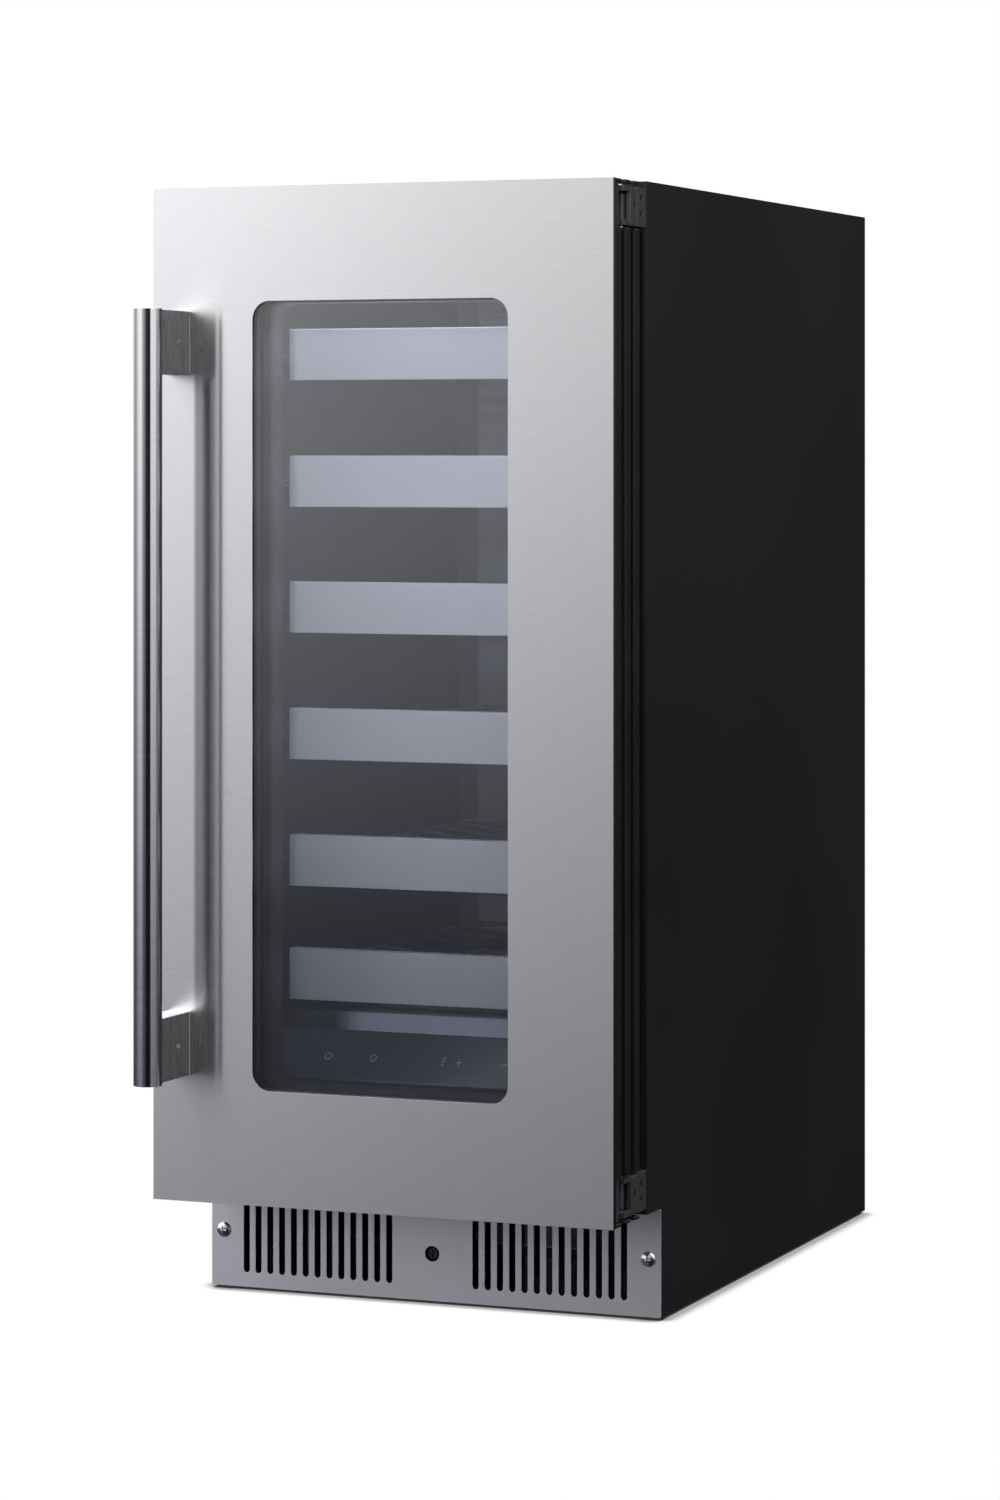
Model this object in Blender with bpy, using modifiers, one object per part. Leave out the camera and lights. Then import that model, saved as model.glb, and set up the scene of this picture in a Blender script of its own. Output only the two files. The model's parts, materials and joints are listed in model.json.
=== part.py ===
"""An under-counter wine cooler: an insulated steel cabinet, a glazed door on two pin hinges and six sliding shelves.

Metres, +Z up. The door faces -Y and its hinges are on the right, at +X. Every part hangs from the empty "cooler",
which lies at floor level, midway between the sides, in the plane of the door's front face. So Y in this script
is the depth behind that face, and the empty moves the whole so that the world origin is under the middle of it.
"""

import math

import bmesh
import bpy
from mathutils import Matrix, Vector

# Overall sizes
WIDTH = 0.378
HEIGHT = 0.866
DEPTH = 0.630
GAP = 0.0003
SHEET = 0.0012
BEYOND = 0.01  # how far a cutter passes a face that it opens
SIDE = WIDTH / 2
PANEL_IN = SIDE - SHEET

# Door
DOOR_BOTTOM = 0.086
DOOR_TOP = 0.865
DOOR_RETURN = 0.0045
FRAME_FRONT = SHEET + GAP
FRAME_BACK = 0.057
GROOVE_DEPTH = 0.004
GROOVES = ((0.0180, 0.0266), (0.0374, 0.0461))
WINDOW_HALF = 0.105
WINDOW_BOTTOM = 0.174
WINDOW_TOP = 0.777
WINDOW_RADIUS = 0.014
TUNNEL_INSET = 0.001
TUNNEL_RADIUS = 0.012
GLASS_LAP = 0.0062
PANE = 0.004
PANE_SPACE = 0.012
SPACER_WIDTH = 0.0055
SEAL_HALF = 0.174
SEAL_BOTTOM = 0.098
SEAL_TOP = 0.852
SEAL_WIDTH = 0.014
SEAL_NECK_INSET = 0.003
SEAL_LIP_FRONT = 0.062

# Door handle
BAR_RADIUS = 0.011
BAR_X = -0.1677
BAR_Y = -0.0527
BAR_BOTTOM = 0.1815
BAR_TOP = 0.7705
POST_HALF = 0.0095
POST_HEIGHT = 0.0490
SET_SCREW_Y = -0.0193
SET_SCREW_RADIUS = 0.0022

# Hinges: the pin's line, and the pocket in the door frame round the upper one
PIN_X = 0.177
PIN_Y = 0.045
PIN_RADIUS = 0.003
KNUCKLE_RADIUS = 0.0065
TONGUE_HALF = 0.0065
POCKET_LEFT = 0.150
POCKET_FRONT = 0.007
POCKET_BOTTOM = 0.829
POCKET_TOP = 0.8625
HINGE_SPACING = 0.7405

# The upper hinge's bracket on the cabinet, and its leaf on the door
BRACKET_INNER = 0.1765
BRACKET_SIDE = SIDE - 0.0005
BRACKET_FRONT = 0.0525
BRACKET_BOTTOM = 0.831
BRACKET_TOP = 0.8605
CHEEK_FRONT = 0.040
CHEEK_CLEAR = 0.001
TONGUE = 0.004
TONGUE_FRONT = 0.026
SQUARE = 0.005
SQUARE_FRONT = 0.0597
SQUARE_BOTTOMS = (0.838, 0.8495)
SQUARE_DEPTH = 0.0025
OVAL_FRONT = 0.0470
OVAL_BACK = 0.0510
OVAL_BOTTOM = 0.8425
OVAL_TOP = 0.8495
OVAL_RADIUS = 0.0019
OVAL_DEPTH = 0.0028
LEAF = 0.0032
LEAF_CLEAR = 0.001
LEAF_FRONT = 0.010
LEAF_BACK = 0.052
FLANGE_SIDE = 0.1865
FLANGE_BACK = 0.0185
ARM_HALF = 0.0045
ARM_BOTTOM = 0.8367
ARM_TOP = 0.8548
KNUCKLE_BOTTOM = 0.8355
KNUCKLE_LENGTH = 0.0205
LEAF_BORE_BOTTOM = 0.833
LEAF_BORE = 0.026

# Cabinet
CABINET_FRONT = 0.073
FOLD = 0.013
LINER = 0.0015
LINER_HALF = 0.1565
LINER_TOP = 0.8295
LINER_BACK = 0.5882
FLOOR_TOP = 0.150
STEP_FRONT = 0.3702
STEP_TOP = 0.236
FOAM_FRONT = CABINET_FRONT + LINER + GAP
FOAM_BACK = DEPTH - SHEET - GAP
FOAM_TOP = HEIGHT - SHEET - GAP
FOAM_SIDE = PANEL_IN - GAP
SKIN = LINER + GAP
BEAM_BOTTOM = 0.0865
BEAM_BACK = 0.1035
FLOOR_UNDER = 0.110
RISER_BACK = 0.3985
STEP_UNDER = 0.206
TRAY_BOTTOM = 0.012
TRAY = 0.0015
PANEL_BOTTOM = 0.002
COVER_TOP = STEP_UNDER + 0.0042

# Toe-kick grille
KICK_FRONT = 0.105
KICK_BACK = KICK_FRONT + SHEET
KICK_TOP = 0.0855
SLOT_WIDTH = 0.005
SLOT_PITCH = 0.0102
SLOT_COUNT = 13
SLOT_INNER = 0.0338
SLOT_BOTTOM = 0.0135
SLOT_TOP = 0.076
KICK_SCREW_X = 0.1785
KICK_SCREW_Z = 0.0465
CENTRE_SCREW_Z = 0.0387
CENTRE_TAB = 0.1108
CENTRE_HOLE = 0.006
SCREW_HOLE = 0.0023
LUG = 0.021

# Shelves, top to bottom: the height of each front trim's upper edge
SHELF_TOPS = (0.7585, 0.6590, 0.5600, 0.4605, 0.3610, 0.2717)
TRIM_Y = 0.108
TRIM_HALF = 0.122
TRIM_HEIGHT = 0.0405
TRIM_DEPTH = 0.0115
RACK_HALF = 0.138
RACK_LENGTH = 0.410
RACK_TOP = -0.0195
RACK_BAR = 0.005
CROSS_BARS = 8
LEDGE = 0.003
LEDGE_INNER = 0.131
RAIL_FRONT = 0.125
RAIL_BACK = 0.535
RAIL_BOTTOM = 0.239
RAIL_TOP = 0.800

# Fans
COND_FAN = (0.0, 0.163, 0.0585)
COND_FAN_RADIUS = 0.0375
CIRC_FAN = (0.0, 0.554, 0.640)
CIRC_FAN_RADIUS = 0.045
HUB_RADIUS = 0.013
BLADES = 5
SHAFT_RADIUS = 0.0015

# The world origin is under the middle of the whole, handle included
HANDLE_OUT = BAR_RADIUS - BAR_Y
FRONT_Y = -(DEPTH - HANDLE_OUT) / 2

for old in list(bpy.data.objects):
    bpy.data.objects.remove(old, do_unlink=True)

PARTS = bpy.data.collections.new("wine_cooler")
TOOLS = bpy.data.collections.new("cutters")
for collection in (PARTS, TOOLS):
    bpy.context.scene.collection.children.link(collection)


def finish(name, color, roughness, metallic=0.0, alpha=1.0):
    """A plain Principled material."""
    material = bpy.data.materials.new(name)
    material.use_nodes = True
    shader = material.node_tree.nodes["Principled BSDF"]
    shader.inputs["Base Color"].default_value = (*color, 1.0)
    shader.inputs["Roughness"].default_value = roughness
    shader.inputs["Metallic"].default_value = metallic
    shader.inputs["Alpha"].default_value = alpha
    return material


def colors():
    """Each finish of the cooler by its name."""
    return {
        "stainless": finish("stainless", (0.62, 0.62, 0.64), 0.30, 1.0),
        "black_paint": finish("black_paint", (0.012, 0.012, 0.013), 0.45),
        "black_plastic": finish("black_plastic", (0.02, 0.02, 0.022), 0.40),
        "hinge_steel": finish("hinge_steel", (0.06, 0.06, 0.065), 0.35, 0.9),
        "glass": finish("glass", (0.20, 0.21, 0.23), 0.02, 0.0, 0.35),
        "rubber": finish("rubber", (0.02, 0.02, 0.02), 0.70),
        "foam": finish("foam", (0.80, 0.70, 0.42), 0.90),
        "liner": finish("liner", (0.05, 0.05, 0.055), 0.50),
        "trim": finish("trim", (0.55, 0.56, 0.62), 0.35, 0.8),
        "wire": finish("wire", (0.03, 0.03, 0.03), 0.35, 0.5),
        "aluminium": finish("aluminium", (0.75, 0.75, 0.76), 0.35, 1.0),
        "lamp": finish("lamp", (0.90, 0.92, 1.00), 0.30),
        "dark_screw": finish("dark_screw", (0.03, 0.03, 0.03), 0.35, 0.8),
    }


COLORS = colors()


def empty(name, at, parent=None):
    """A point that parts hang from."""
    point = bpy.data.objects.new(name, None)
    point.location = at
    point.parent = parent
    TOOLS.objects.link(point)
    return point


COOLER = empty("cooler", (0, FRONT_Y, 0))
DOOR = empty("door_axis", (PIN_X, PIN_Y, 0), COOLER)


def settle(obj, parent, at=(0, 0, 0), turn=(0, 0, 0)):
    """Hangs an object from a point, with at measured in the cooler's own axes."""
    obj.parent = parent
    if parent == DOOR:
        obj.matrix_parent_inverse = Matrix.Translation(-DOOR.location)
    obj.location = at
    obj.rotation_euler = turn


def block(low, high):
    """A box between two opposite corners."""
    bm = bmesh.new()
    bmesh.ops.create_cube(bm, size=1.0)
    low, high = Vector(low), Vector(high)
    bmesh.ops.scale(bm, vec=high - low, verts=bm.verts)
    bmesh.ops.translate(bm, vec=(low + high) / 2, verts=bm.verts)
    return bm


def drum(start, axis, radius, length, sides=24):
    """A cylinder from the middle of its first end along axis X, Y or Z."""
    turns = {
        "X": Matrix.Rotation(math.pi / 2, 3, "Y"),
        "Y": Matrix.Rotation(-math.pi / 2, 3, "X"),
        "Z": Matrix.Identity(3),
    }
    bm = bmesh.new()
    bmesh.ops.create_cone(bm, cap_ends=True, segments=sides, radius1=radius, radius2=radius, depth=length)
    bmesh.ops.translate(bm, vec=(0, 0, length / 2), verts=bm.verts)
    bmesh.ops.rotate(bm, matrix=turns[axis], verts=bm.verts)
    bmesh.ops.translate(bm, vec=start, verts=bm.verts)
    return bm


def placed(axis, u, v, w):
    """The point at u and v in the plane across an axis, and at w along it."""
    return {"X": (w, u, v), "Y": (u, w, v), "Z": (u, v, w)}[axis]


def prism(outline, axis, low, high):
    """An outline drawn out along an axis."""
    bm = bmesh.new()
    first = bm.faces.new([bm.verts.new(placed(axis, u, v, low)) for u, v in outline])
    swept = bmesh.ops.extrude_face_region(bm, geom=[first])
    moved = [item for item in swept["geom"] if isinstance(item, bmesh.types.BMVert)]
    bmesh.ops.translate(bm, vec=placed(axis, 0, 0, high - low), verts=moved)
    bmesh.ops.recalc_face_normals(bm, faces=bm.faces)
    return bm


def ring(outer, inner, axis, low, high):
    """The band between two outlines with the same number of points, drawn out along an axis."""
    bm = bmesh.new()
    rows = []
    for outline, depth in ((outer, low), (outer, high), (inner, high), (inner, low)):
        rows.append([bm.verts.new(placed(axis, u, v, depth)) for u, v in outline])
    count = len(outer)
    for row, following in zip(rows, rows[1:] + rows[:1]):
        for i in range(count):
            j = (i + 1) % count
            bm.faces.new((row[i], row[j], following[j], following[i]))
    bmesh.ops.recalc_face_normals(bm, faces=bm.faces)
    return bm


def together(shapes):
    """Several shapes that don't touch, in one mesh."""
    whole = bmesh.new()
    for shape in shapes:
        piece = bpy.data.meshes.new("piece")
        shape.to_mesh(piece)
        shape.free()
        whole.from_mesh(piece)
        bpy.data.meshes.remove(piece)
    return whole


def rectangle(left, bottom, right, top):
    return [(left, bottom), (right, bottom), (right, top), (left, top)]


def rounded(left, bottom, right, top, radius, steps=6):
    """A rectangle with round corners, each of steps straight pieces. A slot's ends are half circles."""
    corners = (
        (right - radius, top - radius, 0),
        (left + radius, top - radius, 90),
        (left + radius, bottom + radius, 180),
        (right - radius, bottom + radius, 270),
    )
    points = []
    for u, v, start in corners:
        for step in range(steps + 1):
            angle = math.radians(start + 90 * step / steps)
            point = (u + radius * math.cos(angle), v + radius * math.sin(angle))
            if not points or math.dist(point, points[-1]) > GAP / 10:
                points.append(point)
    if math.dist(points[0], points[-1]) < GAP / 10:
        points.pop()
    return points


def circle(u, v, radius, sides=24):
    """A round hole's outline."""
    return [
        (u + radius * math.cos(2 * math.pi * i / sides), v + radius * math.sin(2 * math.pi * i / sides))
        for i in range(sides)
    ]


def dress(obj, color, edge):
    """Gives an object its finish, and rounds the edges of its own mesh where edge isn't 0."""
    obj.data.materials.append(COLORS[color])
    if edge:
        bevel = obj.modifiers.new("edges", "BEVEL")
        bevel.width = edge
        bevel.segments = 2
        bevel.limit_method = "ANGLE"


def part(name, color, shape, parent=COOLER, at=(0, 0, 0), turn=(0, 0, 0), edge=0.0):
    """One node, from its first shape."""
    mesh = bpy.data.meshes.new(name)
    shape.to_mesh(mesh)
    shape.free()
    mesh.shade_smooth()
    mesh.set_sharp_from_angle(angle=math.radians(35))
    obj = bpy.data.objects.new(name, mesh)
    PARTS.objects.link(obj)
    dress(obj, color, edge)
    settle(obj, parent, at, turn)
    return obj


def work(obj, shape, operation):
    """Joins a shape to a node, or cuts it out of one. The shape is in the node's own axes."""
    label = f"{obj.name}_{operation.lower()}_{len(obj.modifiers)}"
    mesh = bpy.data.meshes.new(label)
    shape.to_mesh(mesh)
    shape.free()
    tool = bpy.data.objects.new(label, mesh)
    tool.hide_render = True
    tool.display_type = "WIRE"
    TOOLS.objects.link(tool)
    tool.parent = obj.parent
    tool.matrix_parent_inverse = obj.matrix_parent_inverse
    tool.location = obj.location
    tool.rotation_euler = obj.rotation_euler
    step = obj.modifiers.new(label, "BOOLEAN")
    step.operation = operation
    step.object = tool


def add(obj, *shapes):
    for shape in shapes:
        work(obj, shape, "UNION")


def cut(obj, *shapes):
    for shape in shapes:
        work(obj, shape, "DIFFERENCE")


def plate(name, color, outlines, axis, low, high, parent=COOLER):
    """A flat plate across an axis: the first outline is its edge and the others are holes in it."""
    turns = {"X": (math.pi / 2, 0, math.pi / 2), "Y": (math.pi / 2, 0, 0), "Z": (0, 0, 0)}
    flat = bpy.data.curves.new(name, "CURVE")
    flat.dimensions = "2D"
    flat.fill_mode = "BOTH"
    flat.extrude = (high - low) / 2
    for outline in outlines:
        spline = flat.splines.new("POLY")
        spline.points.add(len(outline) - 1)
        for point, (u, v) in zip(spline.points, outline):
            point.co = (u, v, 0, 1)
        spline.use_cyclic_u = True
    obj = bpy.data.objects.new(name, flat)
    PARTS.objects.link(obj)
    dress(obj, color, 0.0)
    settle(obj, parent, placed(axis, 0, 0, (low + high) / 2), turns[axis])
    return obj


def turned(name, color, profile, at, turn=(0, 0, 0), sides=24, parent=COOLER):
    """A round part: its profile, from the top of the axis down the outer side, swept about its own Z."""
    mesh = bpy.data.meshes.new(name)
    mesh.from_pydata([(radius, 0, z) for radius, z in profile], [(i, i + 1) for i in range(len(profile) - 1)], [])
    obj = bpy.data.objects.new(name, mesh)
    PARTS.objects.link(obj)
    dress(obj, color, 0.0)
    screw = obj.modifiers.new("sweep", "SCREW")
    screw.steps = sides
    screw.render_steps = sides
    screw.use_merge_vertices = True
    screw.merge_threshold = 0.00001
    settle(obj, parent, at, turn)
    return obj


def side_panel(name, side):
    """A painted side sheet with a notch for the toe-kick, and folds along its front edges."""
    outline = [
        (CABINET_FRONT, DOOR_BOTTOM),
        (KICK_BACK + GAP, DOOR_BOTTOM),
        (KICK_BACK + GAP, PANEL_BOTTOM),
        (DEPTH, PANEL_BOTTOM),
        (DEPTH, HEIGHT),
        (CABINET_FRONT, HEIGHT),
    ]
    low, high = sorted((side * PANEL_IN, side * SIDE))
    panel = part(name, "black_paint", prism(outline, "X", low, high))
    front_low, front_high = sorted((side * (SIDE - FOLD), side * (SIDE - SHEET / 2)))
    lug_low, lug_high = sorted((side * (SIDE - LUG), side * (SIDE - SHEET / 2)))
    lug_front = KICK_BACK + GAP
    add(
        panel,
        block((front_low, CABINET_FRONT, DOOR_BOTTOM), (front_high, CABINET_FRONT + SHEET, HEIGHT)),
        block((lug_low, lug_front, PANEL_BOTTOM), (lug_high, lug_front + SHEET, KICK_TOP)),
    )
    cut(panel, drum((side * KICK_SCREW_X, KICK_FRONT, KICK_SCREW_Z), "Y", SCREW_HOLE, 0.006, 16))


def cabinet_shell():
    """Sides, top and back: the painted sheet outside the insulation."""
    side_panel("side_panel_left", -1)
    side_panel("side_panel_right", 1)
    lip_half = SIDE - FOLD - GAP
    top = part(
        "top_panel",
        "black_paint",
        block((-FOAM_SIDE, CABINET_FRONT + SHEET + GAP, HEIGHT - SHEET), (FOAM_SIDE, DEPTH, HEIGHT)),
    )
    add(
        top,
        block((-lip_half, CABINET_FRONT, HEIGHT - SHEET), (lip_half, CABINET_FRONT + 0.02, HEIGHT)),
        block((-lip_half, CABINET_FRONT, HEIGHT - FOLD), (lip_half, CABINET_FRONT + SHEET, HEIGHT - SHEET / 2)),
    )
    back = rectangle(-FOAM_SIDE, COVER_TOP + GAP, FOAM_SIDE, FOAM_TOP)
    plate("back_panel", "black_paint", [back], "Y", DEPTH - SHEET, DEPTH)


def insulation():
    """Foam between the outer sheet and the liner, as blocks for the two sides, the top and the rear with the floor."""
    side_outline = [
        (FOAM_FRONT, BEAM_BOTTOM),
        (BEAM_BACK, BEAM_BOTTOM),
        (BEAM_BACK, FLOOR_UNDER),
        (RISER_BACK, FLOOR_UNDER),
        (RISER_BACK, STEP_UNDER),
        (FOAM_BACK, STEP_UNDER),
        (FOAM_BACK, FOAM_TOP),
        (FOAM_FRONT, FOAM_TOP),
    ]
    inner = LINER_HALF + SKIN
    part("foam_left", "foam", prism(side_outline, "X", -FOAM_SIDE, -inner))
    part("foam_right", "foam", prism(side_outline, "X", inner, FOAM_SIDE))
    core = inner - GAP
    roof = LINER_TOP + SKIN
    part("foam_top", "foam", block((-core, FOAM_FRONT, roof), (core, FOAM_BACK, FOAM_TOP)))
    rear_outline = [
        (FOAM_FRONT, BEAM_BOTTOM),
        (BEAM_BACK, BEAM_BOTTOM),
        (BEAM_BACK, FLOOR_UNDER),
        (RISER_BACK, FLOOR_UNDER),
        (RISER_BACK, STEP_UNDER),
        (FOAM_BACK, STEP_UNDER),
        (FOAM_BACK, roof - GAP),
        (LINER_BACK + SKIN, roof - GAP),
        (LINER_BACK + SKIN, STEP_TOP - SKIN),
        (STEP_FRONT + SKIN, STEP_TOP - SKIN),
        (STEP_FRONT + SKIN, FLOOR_TOP - SKIN),
        (FOAM_FRONT, FLOOR_TOP - SKIN),
    ]
    part("foam_rear", "foam", prism(rear_outline, "X", -core, core))


def liner_profile(grow, front):
    """The chamber seen from the side, grown outwards by a wall's thickness."""
    return [
        (front, FLOOR_TOP - grow),
        (STEP_FRONT + grow, FLOOR_TOP - grow),
        (STEP_FRONT + grow, STEP_TOP - grow),
        (LINER_BACK + grow, STEP_TOP - grow),
        (LINER_BACK + grow, LINER_TOP + grow),
        (front, LINER_TOP + grow),
    ]


def inner_liner():
    """The moulded chamber with its step over the compressor, and the flange that the door seals against."""
    half = LINER_HALF + LINER
    liner = part("inner_liner", "liner", prism(liner_profile(LINER, CABINET_FRONT), "X", -half, half))
    flange_half = SIDE - FOLD - GAP
    outer = rectangle(-flange_half, BEAM_BOTTOM, flange_half, HEIGHT - FOLD - GAP)
    inner = rectangle(-LINER_HALF, FLOOR_TOP, LINER_HALF, LINER_TOP)
    add(liner, ring(outer, inner, "Y", CABINET_FRONT, CABINET_FRONT + LINER))
    cut(liner, prism(liner_profile(0.0, CABINET_FRONT - BEYOND), "X", -LINER_HALF, LINER_HALF))


def louvres(columns, rows, half_length, half_width, low, high):
    """Cutters for rows of lying rectangular slots in a sheet across Y."""
    return together(
        block((x - half_length, low, z - half_width), (x + half_length, high, z + half_width))
        for x in columns
        for z in rows
    )


def finned_coil(name, color, half_width, y_low, y_high, z_low, z_high, fins, tubes):
    """A heat exchanger: upright fins on level tubes."""
    step = 2 * half_width / (fins - 1)
    fin = 0.001
    tube_radius = 0.0045
    overhang = 0.006
    leaves = together(
        block((x - fin / 2, y_low, z_low), (x + fin / 2, y_high, z_high))
        for x in (-half_width + step * i for i in range(fins))
    )
    rise = (z_high - z_low) / tubes
    pipes = together(
        drum((-half_width - overhang, (y_low + y_high) / 2, z_low + rise * (i + 0.5)), "X", tube_radius,
             2 * (half_width + overhang), 6)
        for i in range(tubes)
    )
    coil = part(name, color, leaves)
    add(coil, pipes)


def fan_rotor(name, centre, radius, depth):
    """A fan's hub, pitched blades and shaft, turning about Y through the point centre at its front."""
    hub = part(name, "black_plastic", drum((0, 0, 0), "Y", HUB_RADIUS, depth), at=centre)
    root = HUB_RADIUS - 0.002
    thick, chord = 0.0012, 0.014
    blades = []
    for i in range(BLADES):
        blade = block((root, -thick / 2, -chord / 2), (radius, thick / 2, chord / 2))
        bmesh.ops.rotate(blade, matrix=Matrix.Rotation(math.radians(35), 3, "X"), verts=blade.verts)
        bmesh.ops.translate(blade, vec=(0, depth / 2, 0), verts=blade.verts)
        spin = Matrix.Rotation(2 * math.pi * i / BLADES, 3, "Y")
        bmesh.ops.rotate(blade, matrix=spin, verts=blade.verts)
        blades.append(blade)
    add(hub, together(blades), drum((0, depth - 0.001, 0), "Y", SHAFT_RADIUS, 0.006, 12))


def condenser_group():
    """Behind the toe-kick grille: the condenser, then its fan in a square housing with the motor on three arms."""
    finned_coil("condenser", "black_paint", half_width=0.115, y_low=0.125, y_high=0.155,
                z_low=0.020, z_high=0.100, fins=12, tubes=2)
    x, y, z = COND_FAN
    fan_rotor("condenser_fan", COND_FAN, COND_FAN_RADIUS, 0.014)
    half = 0.044
    housing = part("condenser_fan_housing", "black_plastic",
                   block((x - half, y - 0.003, z - half), (x + half, y + 0.027, z + half)))
    cut(housing, drum((x, y - BEYOND, z), "Y", COND_FAN_RADIUS + 0.0025, 0.05))
    arm = 0.003
    reach = half - 0.002
    add(
        housing,
        block((x - reach, y + 0.020, z - arm), (x + reach, y + 0.025, z + arm)),
        block((x - arm, y + 0.019, z - reach), (x + arm, y + 0.024, z + reach)),
        drum((x, y + 0.0155, z), "Y", HUB_RADIUS + 0.003, 0.016),
    )
    cut(housing, drum((x, y + 0.014, z), "Y", SHAFT_RADIUS + GAP, 0.008, 12))


def circulation_group():
    """On the chamber's back wall: evaporator, fan with its motor, and the cover over them."""
    finned_coil("evaporator", "aluminium", half_width=0.110, y_low=0.556, y_high=0.584,
                z_low=0.350, z_high=0.520, fins=10, tubes=3)
    x, y, z = CIRC_FAN
    fan_rotor("circulation_fan", CIRC_FAN, CIRC_FAN_RADIUS, 0.012)
    wall = LINER_BACK - GAP
    motor_front = y + 0.0135
    motor = part("circulation_fan_motor", "black_plastic",
                 drum((x, motor_front, z), "Y", 0.018, wall - motor_front))
    add(motor, block((x - 0.030, wall - 0.002, z - 0.024), (x + 0.030, wall - GAP, z + 0.024)))
    cut(motor, drum((x, y + 0.012, z), "Y", SHAFT_RADIUS + GAP, 0.008, 12))
    face = 0.548
    half = 0.140
    bottom, top = 0.330, 0.780
    cover = part("evaporator_cover", "liner", block((-half, face, bottom), (half, wall + 0.02, top)), edge=0.002)
    skin = 0.0015
    cut(
        cover,
        block((-half - BEYOND, wall, bottom - BEYOND), (half + BEYOND, wall + 0.03, top + BEYOND)),
        block((skin - half, face + skin, bottom + skin), (half - skin, wall + BEYOND, top - skin)),
    )
    outlet_rows = (0.735, 0.747, 0.759)
    inlet_rows = (0.352, 0.364, 0.376)
    columns = (-0.090, -0.030, 0.030, 0.090)
    cut(cover, louvres(columns, outlet_rows + inlet_rows, 0.024, 0.003, face - BEYOND, face + 0.006))
    slot = 0.003
    guard = []
    for rise in (3 * slot * i for i in range(-4, 5)):
        reach = math.sqrt((CIRC_FAN_RADIUS - slot) ** 2 - rise ** 2)
        opening = rounded(x - reach, z + rise - slot, x + reach, z + rise + slot, slot, 2)
        guard.append(prism(opening, "Y", face - BEYOND, face + 0.006))
    cut(cover, together(guard))


def chamber_fittings():
    """The lamp, the sloping control panel and the shelf rails."""
    lamp_top = LINER_TOP - GAP
    lamp_half = 0.120
    part("led_strip", "lamp",
         block((-lamp_half, 0.100, lamp_top - 0.0075), (lamp_half, 0.112, lamp_top)), edge=0.002)
    panel_outline = [
        (0.080, FLOOR_TOP + GAP),
        (0.150, FLOOR_TOP + GAP),
        (0.150, 0.2232),
        (0.112, 0.2232),
        (0.112, 0.2090),
        (0.080, 0.1745),
    ]
    part("control_panel", "black_plastic", prism(panel_outline, "X", -0.155, 0.155))
    for name, side in (("shelf_rail_left", -1), ("shelf_rail_right", 1)):
        inner, outer = LINER_HALF - 0.0022, LINER_HALF - GAP
        low, high = sorted((side * inner, side * outer))
        rail = part(name, "black_plastic", block((low, RAIL_FRONT, RAIL_BOTTOM), (high, RAIL_BACK, RAIL_TOP)))
        ledge_low, ledge_high = sorted((side * LEDGE_INNER, side * (outer - 0.0008)))
        ledges = []
        for top in SHELF_TOPS:
            rest = top + RACK_TOP - RACK_BAR - GAP
            ledges.append(block((ledge_low, RAIL_FRONT + 0.001, rest - LEDGE),
                                (ledge_high, RAIL_BACK - 0.001, rest)))
        add(rail, together(ledges))


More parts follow.
